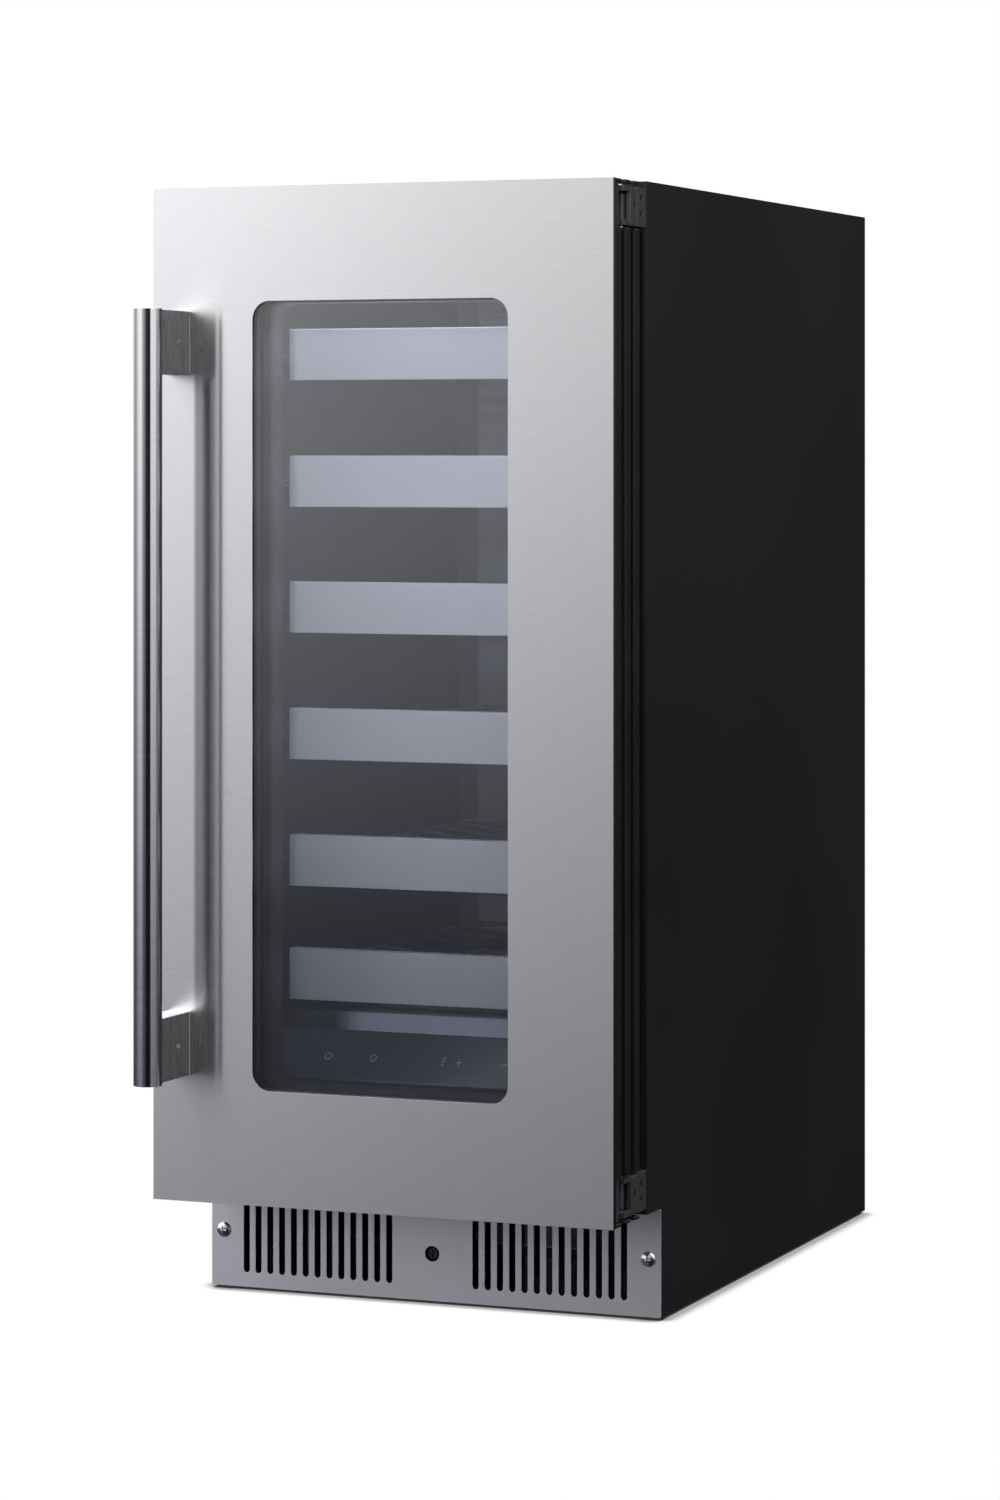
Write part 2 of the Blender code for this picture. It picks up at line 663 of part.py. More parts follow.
def machine_compartment():
    """Base tray, compressor, drip tray, rear cover and mains inlet."""
    tray_top = TRAY_BOTTOM + TRAY
    tray = part("base_tray", "black_paint",
                block((-FOAM_SIDE, 0.109, TRAY_BOTTOM), (FOAM_SIDE, FOAM_BACK, tray_top)))
    tab_half, tab_top = 0.012, 0.056
    add(tray, block((-tab_half, CENTRE_TAB, tray_top - TRAY / 2), (tab_half, CENTRE_TAB + SHEET, tab_top)))
    cut(tray, drum((0, CENTRE_TAB - 0.003, CENTRE_SCREW_Z), "Y", SCREW_HOLE, 0.008, 16))
    for x, y in foot_places():
        cut(tray, drum((x, y, TRAY_BOTTOM - 0.003), "Z", 0.0043, 0.008, 16))
    can_x, can_y = 0.055, 0.515
    can_profile = [(0.0, 0.178), (0.030, 0.175), (0.055, 0.163), (0.066, 0.145), (0.068, 0.120), (0.068, 0.060),
                   (0.066, 0.040), (0.050, 0.027), (0.0, 0.026)]
    can = turned("compressor", "black_paint", can_profile, (can_x, can_y, 0))
    base_plate = block((-0.080, -0.060, 0.0245), (0.080, 0.060, 0.029))
    terminal_cover = block((-0.092, -0.020, 0.085), (-0.060, 0.020, 0.135))
    add(can, base_plate, terminal_cover)
    for leg_x in (-0.068, 0.068):
        for leg_y in (-0.048, 0.048):
            add(can, drum((leg_x, leg_y, tray_top + GAP), "Z", 0.009, 0.014, 12))
    across, along, wall = 0.060, 0.055, 0.002
    bottom, rim = 0.1795, 0.2000
    dish = part("drip_tray", "black_plastic",
                block((can_x - across, can_y - along, bottom), (can_x + across, can_y + along, rim + 2 * BEYOND)),
                edge=0.004)
    cut(
        dish,
        block((can_x - across - BEYOND, can_y - along - BEYOND, rim),
              (can_x + across + BEYOND, can_y + along + BEYOND, rim + 3 * BEYOND)),
        block((can_x - across + wall, can_y - along + wall, bottom + wall),
              (can_x + across - wall, can_y + along - wall, rim + BEYOND)),
    )
    inlet_x, inlet_z = -0.126, 0.054
    half_x, half_z = 0.0237, 0.0137
    cover = part("compressor_cover", "black_paint", block((-FOAM_SIDE, DEPTH - SHEET, tray_top + GAP),
                                                          (FOAM_SIDE, DEPTH, COVER_TOP)))
    louvre_rows = [0.095 + 0.0135 * i for i in range(8)]
    cut(
        cover,
        louvres((-0.100, 0.0, 0.100), louvre_rows, 0.040, 0.0025, DEPTH - BEYOND, DEPTH + BEYOND),
        block((inlet_x - half_x - GAP, DEPTH - BEYOND, inlet_z - half_z - GAP),
              (inlet_x + half_x + GAP, DEPTH + BEYOND, inlet_z + half_z + GAP)),
    )
    inlet = part("power_inlet", "black_plastic",
                 block((inlet_x - half_x, 0.600, inlet_z - half_z),
                       (inlet_x + half_x, DEPTH - 0.0004, inlet_z + half_z)))
    flange = 0.0043
    add(inlet, block((inlet_x - half_x - flange, 0.625, inlet_z - half_z - flange),
                     (inlet_x + half_x + flange, FOAM_BACK, inlet_z + half_z + flange)))
    mouth_x, mouth_z, socket_floor = 0.0125, 0.0085, 0.612
    cut(inlet, block((inlet_x - mouth_x, socket_floor, inlet_z - mouth_z),
                     (inlet_x + mouth_x, DEPTH + BEYOND, inlet_z + mouth_z)))
    add(inlet, together(
        block((inlet_x + dx - 0.001, socket_floor - 0.001, inlet_z + dz - 0.002),
              (inlet_x + dx + 0.001, socket_floor + 0.014, inlet_z + dz + 0.002))
        for dx, dz in ((-0.007, -0.002), (0.0, 0.003), (0.007, -0.002))
    ))


def foot_places():
    """Where the levelling feet stand."""
    return [(x, y) for y in (0.135, 0.600) for x in (-0.150, 0.150)]


def feet():
    """Four levelling feet: a round pad on a threaded stud through the base tray."""
    profile = [(0.0, 0.030), (0.0035, 0.030), (0.004, 0.029), (0.004, 0.008), (0.013, 0.008), (0.016, 0.005),
               (0.016, 0.0008), (0.0152, 0.0), (0.0, 0.0)]
    names = ("foot_front_left", "foot_front_right", "foot_rear_left", "foot_rear_right")
    for name, (x, y) in zip(names, foot_places()):
        turned(name, "black_plastic", profile, (x, y, 0), sides=16)


def cross_recess(reach, width, z_low, z_high):
    """A cross-head driver recess in a turned screw head."""
    return (
        block((-reach, -width, z_low), (reach, width, z_high)),
        block((-width, -reach, z_low), (width, reach, z_high)),
    )


def toe_kick():
    """The grille below the door with its three screws."""
    edge = rounded(-SIDE, PANEL_BOTTOM, SIDE, KICK_TOP, 0.002, 2)
    holes = []
    for side in (-1, 1):
        for i in range(SLOT_COUNT):
            x = side * (SLOT_INNER + SLOT_WIDTH / 2 + SLOT_PITCH * i)
            half = SLOT_WIDTH / 2
            holes.append(rounded(x - half, SLOT_BOTTOM, x + half, SLOT_TOP, half, 3))
        holes.append(circle(side * KICK_SCREW_X, KICK_SCREW_Z, SCREW_HOLE, 16))
    holes.append(circle(0, CENTRE_SCREW_Z, CENTRE_HOLE))
    plate("toe_kick_grille", "stainless", [edge] + holes, "Y", KICK_FRONT, KICK_BACK)
    facing_out = (math.pi / 2, 0, 0)
    pan = [(0.0, 0.0030), (0.0030, 0.0028), (0.0050, 0.0020), (0.0060, 0.0003), (0.0060, 0.0), (0.0020, 0.0),
           (0.0020, -0.0090), (0.0, -0.0110)]
    for name, side in (("grille_screw_left", -1), ("grille_screw_right", 1)):
        screw = turned(name, "stainless", pan, (side * KICK_SCREW_X, KICK_FRONT - GAP, KICK_SCREW_Z), facing_out)
        cut(screw, *cross_recess(0.0032, 0.0006, 0.0012, 0.004))
    sunk = [(0.0, 0.0040), (0.0040, 0.0040), (0.0048, 0.0032), (0.0048, 0.0), (0.0020, 0.0), (0.0020, -0.0080),
            (0.0, -0.0100)]
    screw = turned("grille_screw_centre", "dark_screw", sunk, (0, CENTRE_TAB - GAP, CENTRE_SCREW_Z), facing_out)
    cut(screw, *cross_recess(0.0030, 0.0006, 0.0018, 0.006))


def door_leaf():
    """The stainless front sheet, the grooved black frame behind it, the sealed panes and the magnetic gasket."""
    front = rectangle(-SIDE, DOOR_BOTTOM, SIDE, DOOR_TOP)
    panel = part("door_panel", "stainless", prism(front, "Y", 0, DOOR_RETURN), DOOR)
    inside = rectangle(SHEET - SIDE, DOOR_BOTTOM + SHEET, SIDE - SHEET, DOOR_TOP - SHEET)
    window = rounded(-WINDOW_HALF, WINDOW_BOTTOM, WINDOW_HALF, WINDOW_TOP, WINDOW_RADIUS, 8)
    cut(panel, prism(inside, "Y", SHEET, DOOR_RETURN + BEYOND), prism(window, "Y", -BEYOND, BEYOND))

    frame = part("door_frame", "black_plastic", prism(front, "Y", DOOR_RETURN + GAP, FRAME_BACK), DOOR)
    inset = SHEET + GAP
    nose = rectangle(inset - SIDE, DOOR_BOTTOM + inset, SIDE - inset, DOOR_TOP - inset)
    add(frame, prism(nose, "Y", FRAME_FRONT, DOOR_RETURN + 0.002))
    tunnel = rounded(TUNNEL_INSET - WINDOW_HALF, WINDOW_BOTTOM + TUNNEL_INSET, WINDOW_HALF - TUNNEL_INSET,
                     WINDOW_TOP - TUNNEL_INSET, TUNNEL_RADIUS, 6)
    lap = GLASS_LAP + GAP
    rebate = rectangle(-WINDOW_HALF - lap, WINDOW_BOTTOM - lap, WINDOW_HALF + lap, WINDOW_TOP + lap)
    glass_front = FRAME_FRONT
    inner_pane = glass_front + PANE + PANE_SPACE
    glass_back = inner_pane + PANE
    cut(frame, prism(tunnel, "Y", -BEYOND, FRAME_BACK + BEYOND), prism(rebate, "Y", -BEYOND, glass_back + GAP))
    far = rectangle(-SIDE - BEYOND, DOOR_BOTTOM - BEYOND, SIDE + BEYOND, DOOR_TOP + BEYOND)
    near = rectangle(GROOVE_DEPTH - SIDE, DOOR_BOTTOM + GROOVE_DEPTH, SIDE - GROOVE_DEPTH, DOOR_TOP - GROOVE_DEPTH)
    for low, high in GROOVES:
        cut(frame, ring(far, near, "Y", low, high))
    for drop in (0.0, HINGE_SPACING):
        cut(frame, block((POCKET_LEFT, POCKET_FRONT, POCKET_BOTTOM - drop),
                         (SIDE + BEYOND, FRAME_BACK + BEYOND, POCKET_TOP - drop)))

    pane = (WINDOW_HALF + GLASS_LAP, WINDOW_BOTTOM - GLASS_LAP, WINDOW_TOP + GLASS_LAP)
    for name, near_face in (("door_glass_outer", glass_front), ("door_glass_inner", inner_pane)):
        low, high = (-pane[0], near_face, pane[1]), (pane[0], near_face + PANE, pane[2])
        part(name, "glass", block(low, high), DOOR)
    outer = rectangle(-pane[0], pane[1], pane[0], pane[2])
    inner = rectangle(SPACER_WIDTH - pane[0], pane[1] + SPACER_WIDTH,
                      pane[0] - SPACER_WIDTH, pane[2] - SPACER_WIDTH)
    part("glass_spacer", "aluminium", ring(outer, inner, "Y", glass_front + PANE + GAP, inner_pane - GAP), DOOR)

    def seal_line(inset_by):
        edge = SEAL_HALF - inset_by
        return rectangle(-edge, SEAL_BOTTOM + inset_by, edge, SEAL_TOP - inset_by)

    gasket = part("door_gasket", "rubber",
                  ring(seal_line(0.0), seal_line(SEAL_WIDTH), "Y", SEAL_LIP_FRONT, CABINET_FRONT - GAP), DOOR)
    neck = ring(seal_line(SEAL_NECK_INSET), seal_line(SEAL_WIDTH - SEAL_NECK_INSET), "Y",
                FRAME_BACK + GAP, SEAL_LIP_FRONT + 0.002)
    add(gasket, neck)


def handle():
    """A round bar on two posts, each post held by a set screw in its inner side."""
    line = bpy.data.curves.new("handle_bar", "CURVE")
    line.dimensions = "3D"
    line.bevel_depth = BAR_RADIUS
    line.bevel_resolution = 14
    line.use_fill_caps = True
    spline = line.splines.new("POLY")
    spline.points.add(1)
    spline.points[0].co = (0, 0, BAR_BOTTOM, 1)
    spline.points[1].co = (0, 0, BAR_TOP, 1)
    bar = bpy.data.objects.new("handle_bar", line)
    PARTS.objects.link(bar)
    line.materials.append(COLORS["stainless"])
    weld = bar.modifiers.new("weld", "WELD")
    weld.merge_threshold = 0.00001
    edges = bar.modifiers.new("edges", "BEVEL")
    edges.width = 0.0012
    edges.segments = 2
    edges.limit_method = "ANGLE"
    edges.angle_limit = math.radians(60)
    settle(bar, DOOR, (BAR_X, BAR_Y, 0))

    inner_side = BAR_X + POST_HALF
    for place, bottom in (("top", BAR_TOP - POST_HEIGHT - 0.0005), ("bottom", BAR_BOTTOM + 0.0015)):
        post = part(f"handle_post_{place}", "stainless",
                    block((BAR_X - POST_HALF, BAR_Y, bottom), (inner_side, -GAP, bottom + POST_HEIGHT)),
                    DOOR, edge=0.0008)
        middle = bottom + POST_HEIGHT / 2
        cut(
            post,
            drum((BAR_X, BAR_Y, bottom - BEYOND), "Z", BAR_RADIUS + GAP, POST_HEIGHT + 2 * BEYOND, 48),
            drum((inner_side - 0.010, SET_SCREW_Y, middle), "X", SET_SCREW_RADIUS + GAP, 0.02, 16),
        )
        screw = part(f"set_screw_{place}", "dark_screw",
                     drum((inner_side - 0.0097, SET_SCREW_Y, middle), "X", SET_SCREW_RADIUS, 0.0072, 16), DOOR)
        cut(screw, drum((inner_side - 0.0045, SET_SCREW_Y, middle), "X", 0.0012, 0.005, 6))


def hinge(place, drop):
    """A cabinet bracket with the pin between two tongues, and the door's leaf with a knuckle round the pin."""
    low, high = BRACKET_BOTTOM - drop, BRACKET_TOP - drop
    bracket = part(f"hinge_bracket_{place}", "hinge_steel",
                   block((BRACKET_INNER, BRACKET_FRONT, low), (BRACKET_SIDE, CABINET_FRONT - GAP, high)))
    cheek = PIN_X + KNUCKLE_RADIUS + CHEEK_CLEAR
    add(bracket, block((cheek, CHEEK_FRONT, low + CHEEK_CLEAR),
                       (BRACKET_SIDE - GAP, BRACKET_FRONT + 0.0035, high - CHEEK_CLEAR)))
    for bottom in (low, high - TONGUE):
        add(bracket, block((PIN_X - TONGUE_HALF, TONGUE_FRONT, bottom),
                           (BRACKET_SIDE - 2 * GAP, BRACKET_FRONT + 0.004, bottom + TONGUE)))
    add(bracket, drum((PIN_X, PIN_Y, low + TONGUE / 2), "Z", PIN_RADIUS, high - low - TONGUE, 20))
    past = 0.002
    for hole in SQUARE_BOTTOMS:
        cut(bracket, block((BRACKET_SIDE - SQUARE_DEPTH, SQUARE_FRONT, hole - drop),
                           (BRACKET_SIDE + past, SQUARE_FRONT + SQUARE, hole + SQUARE - drop)))
    oval = rounded(OVAL_FRONT, OVAL_BOTTOM - drop, OVAL_BACK, OVAL_TOP - drop, OVAL_RADIUS, 4)
    cut(bracket, prism(oval, "X", BRACKET_SIDE - OVAL_DEPTH, BRACKET_SIDE + past))
    wall = POCKET_LEFT + GAP
    leaf_low, leaf_high = POCKET_BOTTOM + LEAF_CLEAR - drop, POCKET_TOP - LEAF_CLEAR - drop
    leaf = part(f"hinge_leaf_{place}", "hinge_steel",
                block((wall, LEAF_FRONT, leaf_low), (wall + LEAF, LEAF_BACK, leaf_high)), DOOR)
    arm_start = wall + 0.001
    add(
        leaf,
        block((arm_start, POCKET_FRONT + GAP, leaf_low), (FLANGE_SIDE, FLANGE_BACK, leaf_high)),
        block((arm_start, PIN_Y - ARM_HALF, ARM_BOTTOM - drop), (PIN_X, PIN_Y + ARM_HALF, ARM_TOP - drop)),
        drum((PIN_X, PIN_Y, KNUCKLE_BOTTOM - drop), "Z", KNUCKLE_RADIUS, KNUCKLE_LENGTH),
    )
    cut(leaf, drum((PIN_X, PIN_Y, LEAF_BORE_BOTTOM - drop), "Z", PIN_RADIUS + GAP, LEAF_BORE, 20))


def shelves():
    """Six racks, each with its front trim, hung from a point at the middle of the trim's upper front edge."""
    rack_front = TRIM_DEPTH + GAP
    rack_back = rack_front + RACK_LENGTH
    bottom = RACK_TOP - RACK_BAR
    for number, top in enumerate(SHELF_TOPS, start=1):
        shelf = empty(f"shelf_{number}", (0, TRIM_Y, top), COOLER)
        part(f"shelf_trim_{number}", "trim",
             block((-TRIM_HALF, 0, -TRIM_HEIGHT), (TRIM_HALF, TRIM_DEPTH, 0)), shelf, edge=0.001)
        outer = rectangle(-RACK_HALF, rack_front, RACK_HALF, rack_back)
        inner = rectangle(RACK_BAR - RACK_HALF, rack_front + RACK_BAR, RACK_HALF - RACK_BAR, rack_back - RACK_BAR)
        rack = part(f"shelf_rack_{number}", "wire", ring(outer, inner, "Z", bottom, RACK_TOP), shelf)
        pitch = RACK_LENGTH / (CROSS_BARS + 1)
        reach = RACK_HALF - RACK_BAR / 2
        bars = together(
            block((-reach, y - 0.002, bottom + 0.0005), (reach, y + 0.002, RACK_TOP - 0.0005))
            for y in (rack_front + pitch * (i + 1) for i in range(CROSS_BARS))
        )
        add(rack, bars)


cabinet_shell()
insulation()
inner_liner()
chamber_fittings()
circulation_group()
condenser_group()
machine_compartment()
feet()
toe_kick()
door_leaf()
handle()
hinge("top", 0.0)
hinge("bottom", HINGE_SPACING)
shelves()
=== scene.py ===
# %% [markdown]
# # An under-counter wine cooler
# The solid parts come ready made, in metres, with the door facing -Y and the floor at Z = 0.
# This lesson gives each of them its finish and softer edges, adds the small pieces that a solid model
# leaves out, and then lights the whole in a white studio.

# %% Load the solid parts
import json
import math

import bpy
from mathutils import Matrix, Vector


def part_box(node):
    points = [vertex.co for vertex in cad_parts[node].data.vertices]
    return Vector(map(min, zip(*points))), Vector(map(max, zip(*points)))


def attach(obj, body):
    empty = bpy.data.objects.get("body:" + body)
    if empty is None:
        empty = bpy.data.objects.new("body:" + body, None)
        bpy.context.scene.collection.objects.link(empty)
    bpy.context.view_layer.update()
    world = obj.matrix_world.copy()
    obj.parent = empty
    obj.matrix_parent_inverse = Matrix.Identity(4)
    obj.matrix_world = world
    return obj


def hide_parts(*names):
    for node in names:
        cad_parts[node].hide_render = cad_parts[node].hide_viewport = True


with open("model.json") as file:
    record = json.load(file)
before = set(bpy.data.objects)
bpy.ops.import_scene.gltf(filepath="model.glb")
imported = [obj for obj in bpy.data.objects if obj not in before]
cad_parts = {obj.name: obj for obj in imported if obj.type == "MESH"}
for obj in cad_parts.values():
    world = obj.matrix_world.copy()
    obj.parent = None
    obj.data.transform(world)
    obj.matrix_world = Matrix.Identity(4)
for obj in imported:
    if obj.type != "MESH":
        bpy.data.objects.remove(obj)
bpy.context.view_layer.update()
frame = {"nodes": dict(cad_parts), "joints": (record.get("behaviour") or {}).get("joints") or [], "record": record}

nodes = frame["nodes"]
body_of_node = {}
for body, names in frame["record"]["behaviour"]["bodies"].items():
    for node_name in names:
        body_of_node[node_name] = body
merge_distance = 0.000005
shelf_numbers = range(1, 7)

# %% [markdown]
# ## Small helpers
# Blender's operators act on whatever is selected, so each step starts by selecting one object and no more.
# A new piece is made at its place, and then its place is applied into its mesh, so that its own axes
# are the world's axes. Every pattern below relies on that, because it reads those axes.

# %% Select, link and apply
def only(obj):
    """Selects this object alone and makes it active."""
    if bpy.context.object and bpy.context.object.mode != "OBJECT":
        bpy.ops.object.mode_set(mode="OBJECT")
    bpy.ops.object.select_all(action="DESELECT")
    obj.select_set(True)
    bpy.context.view_layer.objects.active = obj


def into_mesh(obj):
    """Turns a curve or a moved object into a mesh whose place is in its points."""
    only(obj)
    if obj.type != "MESH":
        bpy.ops.object.convert(target="MESH")
    bpy.ops.object.transform_apply(location=True, rotation=True, scale=True)
    return bpy.context.object


def outwards(obj):
    """Merges doubled points and turns every face to the outside."""
    only(obj)
    bpy.ops.object.mode_set(mode="EDIT")
    bpy.ops.mesh.select_all(action="SELECT")
    bpy.ops.mesh.remove_doubles(threshold=merge_distance)
    bpy.ops.mesh.normals_make_consistent(inside=False)
    bpy.ops.object.mode_set(mode="OBJECT")


def paint(obj, material):
    """Gives every face of an object one material."""
    obj.data.materials.clear()
    obj.data.materials.append(material)


print("helpers ready")

# %% [markdown]
# ## Softer edges
# Folded sheet, moulded plastic and turned steel never have a perfectly sharp edge: the thin bright line
# that an edge catches is most of what makes a shape look real. The solid parts are loose triangles, and most
# of their edges are sharp. So each part that shows is copied, its triangles are merged back into flat faces,
# and a Bevel modifier rounds the edges by a few tenths of a millimetre. A Weighted Normal modifier then
# keeps the large faces shading flat, and the copy takes the part's place.

# %% Copy a part with its edges eased
def eased(name, width, material):
    """A finished copy of a solid part, its sharp edges rounded by width metres, or left as they are at 0."""
    mesh = nodes[name].data.copy()
    copy = bpy.data.objects.new(f"{name}_finish", mesh)
    bpy.context.scene.collection.objects.link(copy)
    only(copy)
    if mesh.has_custom_normals:
        bpy.ops.mesh.customdata_custom_splitnormals_clear()
    bpy.ops.object.mode_set(mode="EDIT")
    bpy.ops.mesh.select_all(action="SELECT")
    bpy.ops.mesh.remove_doubles(threshold=merge_distance)
    bpy.ops.mesh.dissolve_limited(angle_limit=math.radians(0.5))
    bpy.ops.object.mode_set(mode="OBJECT")
    if width:
        bevel = copy.modifiers.new("edges", "BEVEL")
        bevel.width = width
        bevel.segments = 2
        bevel.limit_method = "ANGLE"
        bevel.angle_limit = math.radians(40)
        bpy.ops.object.modifier_apply(modifier="edges")
    bpy.ops.object.shade_smooth_by_angle(angle=math.radians(50 if width else 35))
    flat = copy.modifiers.new("flat faces", "WEIGHTED_NORMAL")
    flat.keep_sharp = True
    flat.weight = 100
    bpy.ops.object.modifier_apply(modifier="flat faces")
    paint(copy, material)
    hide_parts(name)
    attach(copy, body_of_node[name])


print("ready to ease edges")

# %% [markdown]
# ## Shared effects
# Brushed metal, painted sheet and moulded plastic each have a fine pattern that shows in their colour, gloss
# and relief. A node group holds such a pattern once, and each material places it with its own values. A
# group puts out only numbers and colours here, and the shader itself stays in the material.

# %% Start a node group
def new_group(name, inputs, outputs):
    """An empty shader group with named sockets, and its input and output nodes."""
    group = bpy.data.node_groups.new(name, "ShaderNodeTree")
    kinds = {"value": "NodeSocketFloat", "vector": "NodeSocketVector", "colour": "NodeSocketColor"}
    for label, kind, default in inputs:
        socket = group.interface.new_socket(label, in_out="INPUT", socket_type=kinds[kind])
        if default is not None:
            socket.default_value = default
    for label, kind in outputs:
        group.interface.new_socket(label, in_out="OUTPUT", socket_type=kinds[kind])
    return group, group.nodes.new("NodeGroupInput"), group.nodes.new("NodeGroupOutput")


def math_node(tree, operation, first, second=None, third=None):
    """A Math node fed by numbers or by other nodes' outputs."""
    node = tree.nodes.new("ShaderNodeMath")
    node.operation = operation
    for socket, value in zip(node.inputs, (first, second, third)):
        if value is None:
            continue
        if isinstance(value, bpy.types.NodeSocket):
            tree.links.new(value, socket)
        else:
            socket.default_value = value
    return node.outputs[0]


def scaled(tree, vector, factor):
    """A vector times a vector, so that a pattern is stretched along some axes."""
    node = tree.nodes.new("ShaderNodeVectorMath")
    node.operation = "MULTIPLY"
    tree.links.new(vector, node.inputs[0])
    if isinstance(factor, bpy.types.NodeSocket):
        tree.links.new(factor, node.inputs[1])
    else:
        node.inputs[1].default_value = factor
    return node.outputs[0]


def noise(tree, vector, detail, roughness):
    """Noise between 0 and 1 over a vector."""
    node = tree.nodes.new("ShaderNodeTexNoise")
    node.inputs["Scale"].default_value = 1.0
    node.inputs["Detail"].default_value = detail
    node.inputs["Roughness"].default_value = roughness
    tree.links.new(vector, node.inputs["Vector"])
    return node.outputs["Fac"]


def remap(tree, value, low, high, to_low, to_high):
    """Stretches a value from one range to another and keeps it inside the second."""
    node = tree.nodes.new("ShaderNodeMapRange")
    tree.links.new(value, node.inputs["Value"])
    for label, number in (("From Min", low), ("From Max", high), ("To Min", to_low), ("To Max", to_high)):
        node.inputs[label].default_value = number
    return node.outputs["Result"]


print("node helpers ready")

# %% [markdown]
# Brushed steel is covered with very long, very thin scratches that all run one way. Noise squeezed hard
# across them and much less along them gives exactly that. Two sizes are added: the hairlines themselves,
# and a few broad soft streaks that come from the belt which made them.

# %% Group: brushing
brushing, group_in, group_out = new_group(
    "Brushing",
    [("Vector", "vector", None), ("Squeeze", "vector", (4.0, 60.0, 900.0)), ("Contrast", "value", 0.08)],
    [("Shade", "colour"), ("Hairlines", "value")],
)
hair_space = scaled(brushing, group_in.outputs["Vector"], group_in.outputs["Squeeze"])
hairlines = noise(brushing, hair_space, 4.0, 0.7)
streak_space = scaled(brushing, hair_space, (0.35, 0.35, 0.06))
streaks = noise(brushing, streak_space, 2.0, 0.5)
hair_share = 0.93
streak_share = 0.07
both = math_node(brushing, "ADD", math_node(brushing, "MULTIPLY", hairlines, hair_share),
                 math_node(brushing, "MULTIPLY", streaks, streak_share))
centred = math_node(brushing, "SUBTRACT", both, 0.5)
swing = math_node(brushing, "MULTIPLY", group_in.outputs["Contrast"], 4.0)
shade = math_node(brushing, "MULTIPLY_ADD", centred, swing, 1.0)
brushing.links.new(shade, group_out.inputs["Shade"])
brushing.links.new(hairlines, group_out.inputs["Hairlines"])
print("group", brushing.name, "with", len(brushing.nodes), "nodes")

# %% [markdown]
# Sprayed paint and moulded plastic share a faint pebbled skin, and both collect a little dust and finger
# grease that changes the gloss in soft patches. One group gives the pebbles as a height and the patches as
# a mask.

# %% Group: skin
skin_group, group_in, group_out = new_group(
    "Skin",
    [("Vector", "vector", None), ("Pebble Size", "value", 0.0012), ("Patch Size", "value", 0.12)],
    [("Pebbles", "value"), ("Patches", "value")],
)
pebble_scale = math_node(skin_group, "DIVIDE", 1.0, group_in.outputs["Pebble Size"])
patch_scale = math_node(skin_group, "DIVIDE", 1.0, group_in.outputs["Patch Size"])
for label, scale_socket, detail in (("Pebbles", pebble_scale, 2.0), ("Patches", patch_scale, 5.0)):
    field = skin_group.nodes.new("ShaderNodeTexNoise")
    field.inputs["Detail"].default_value = detail
    skin_group.links.new(group_in.outputs["Vector"], field.inputs["Vector"])
    skin_group.links.new(scale_socket, field.inputs["Scale"])
    skin_group.links.new(field.outputs["Fac"], group_out.inputs[label])
print("group", skin_group.name, "with", len(skin_group.nodes), "nodes")

# %% [markdown]
# ## Finishes
# Each finish is one Principled shader. The numbers that are the same all over the surface sit on the shader
# itself, and only what changes over the surface comes from the groups.

# %% Start a material
def new_material(name, **settings):
    """A material, its tree and its Principled shader, with plain numbers set on the shader."""
    material = bpy.data.materials.new(name)
    material.use_nodes = True
    shader = material.node_tree.nodes["Principled BSDF"]
    for label, value in settings.items():
        shader.inputs[label.replace("_", " ")].default_value = value
    return material, material.node_tree, shader


def place_group(tree, group, **settings):
    """A group node that reads the piece's own axes."""
    node = tree.nodes.new("ShaderNodeGroup")
    node.node_tree = group
    axes = tree.nodes.new("ShaderNodeTexCoord")
    tree.links.new(axes.outputs["Object"], node.inputs["Vector"])
    for label, value in settings.items():
        node.inputs[label.replace("_", " ")].default_value = value
    return node


def tinted(tree, shader, colour, shade_socket):
    """Base colour times a shade that varies over the surface."""
    mix = tree.nodes.new("ShaderNodeMix")
    mix.data_type = "RGBA"
    mix.blend_type = "MULTIPLY"
    mix.inputs["Factor"].default_value = 1.0
    mix.inputs["A"].default_value = (*colour, 1.0)
    tree.links.new(shade_socket, mix.inputs["B"])
    tree.links.new(mix.outputs["Result"], shader.inputs["Base Color"])


def relief(tree, shader, height, distance):
    """A Bump node from a height, given in metres."""
    bump = tree.nodes.new("ShaderNodeBump")
    bump.inputs["Distance"].default_value = distance
    bump.inputs["Strength"].default_value = 1.0
    tree.links.new(height, bump.inputs["Height"])
    tree.links.new(bump.outputs["Normal"], shader.inputs["Normal"])


def brushed(name, colour, squeeze, contrast, rough_low, rough_high, smear=0.0):
    """Brushed metal. Its scratches run where squeeze is small, and smear draws a reflection up and down."""
    material, tree, shader = new_material(name, Metallic=1.0)
    lines = place_group(tree, brushing, Squeeze=squeeze, Contrast=contrast)
    tinted(tree, shader, colour, lines.outputs["Shade"])
    gloss = remap(tree, lines.outputs["Hairlines"], 0.3, 0.7, rough_low, rough_high)
    tree.links.new(gloss, shader.inputs["Roughness"])
    hair_height = 0.000001
    relief(tree, shader, lines.outputs["Hairlines"], hair_height)
    if smear:
        shader.inputs["Anisotropic"].default_value = smear
        shader.inputs["Anisotropic Rotation"].default_value = 0.25
        tangent = tree.nodes.new("ShaderNodeTangent")
        tangent.direction_type = "RADIAL"
        tangent.axis = "Z"
        tree.links.new(tangent.outputs["Tangent"], shader.inputs["Tangent"])
    return material


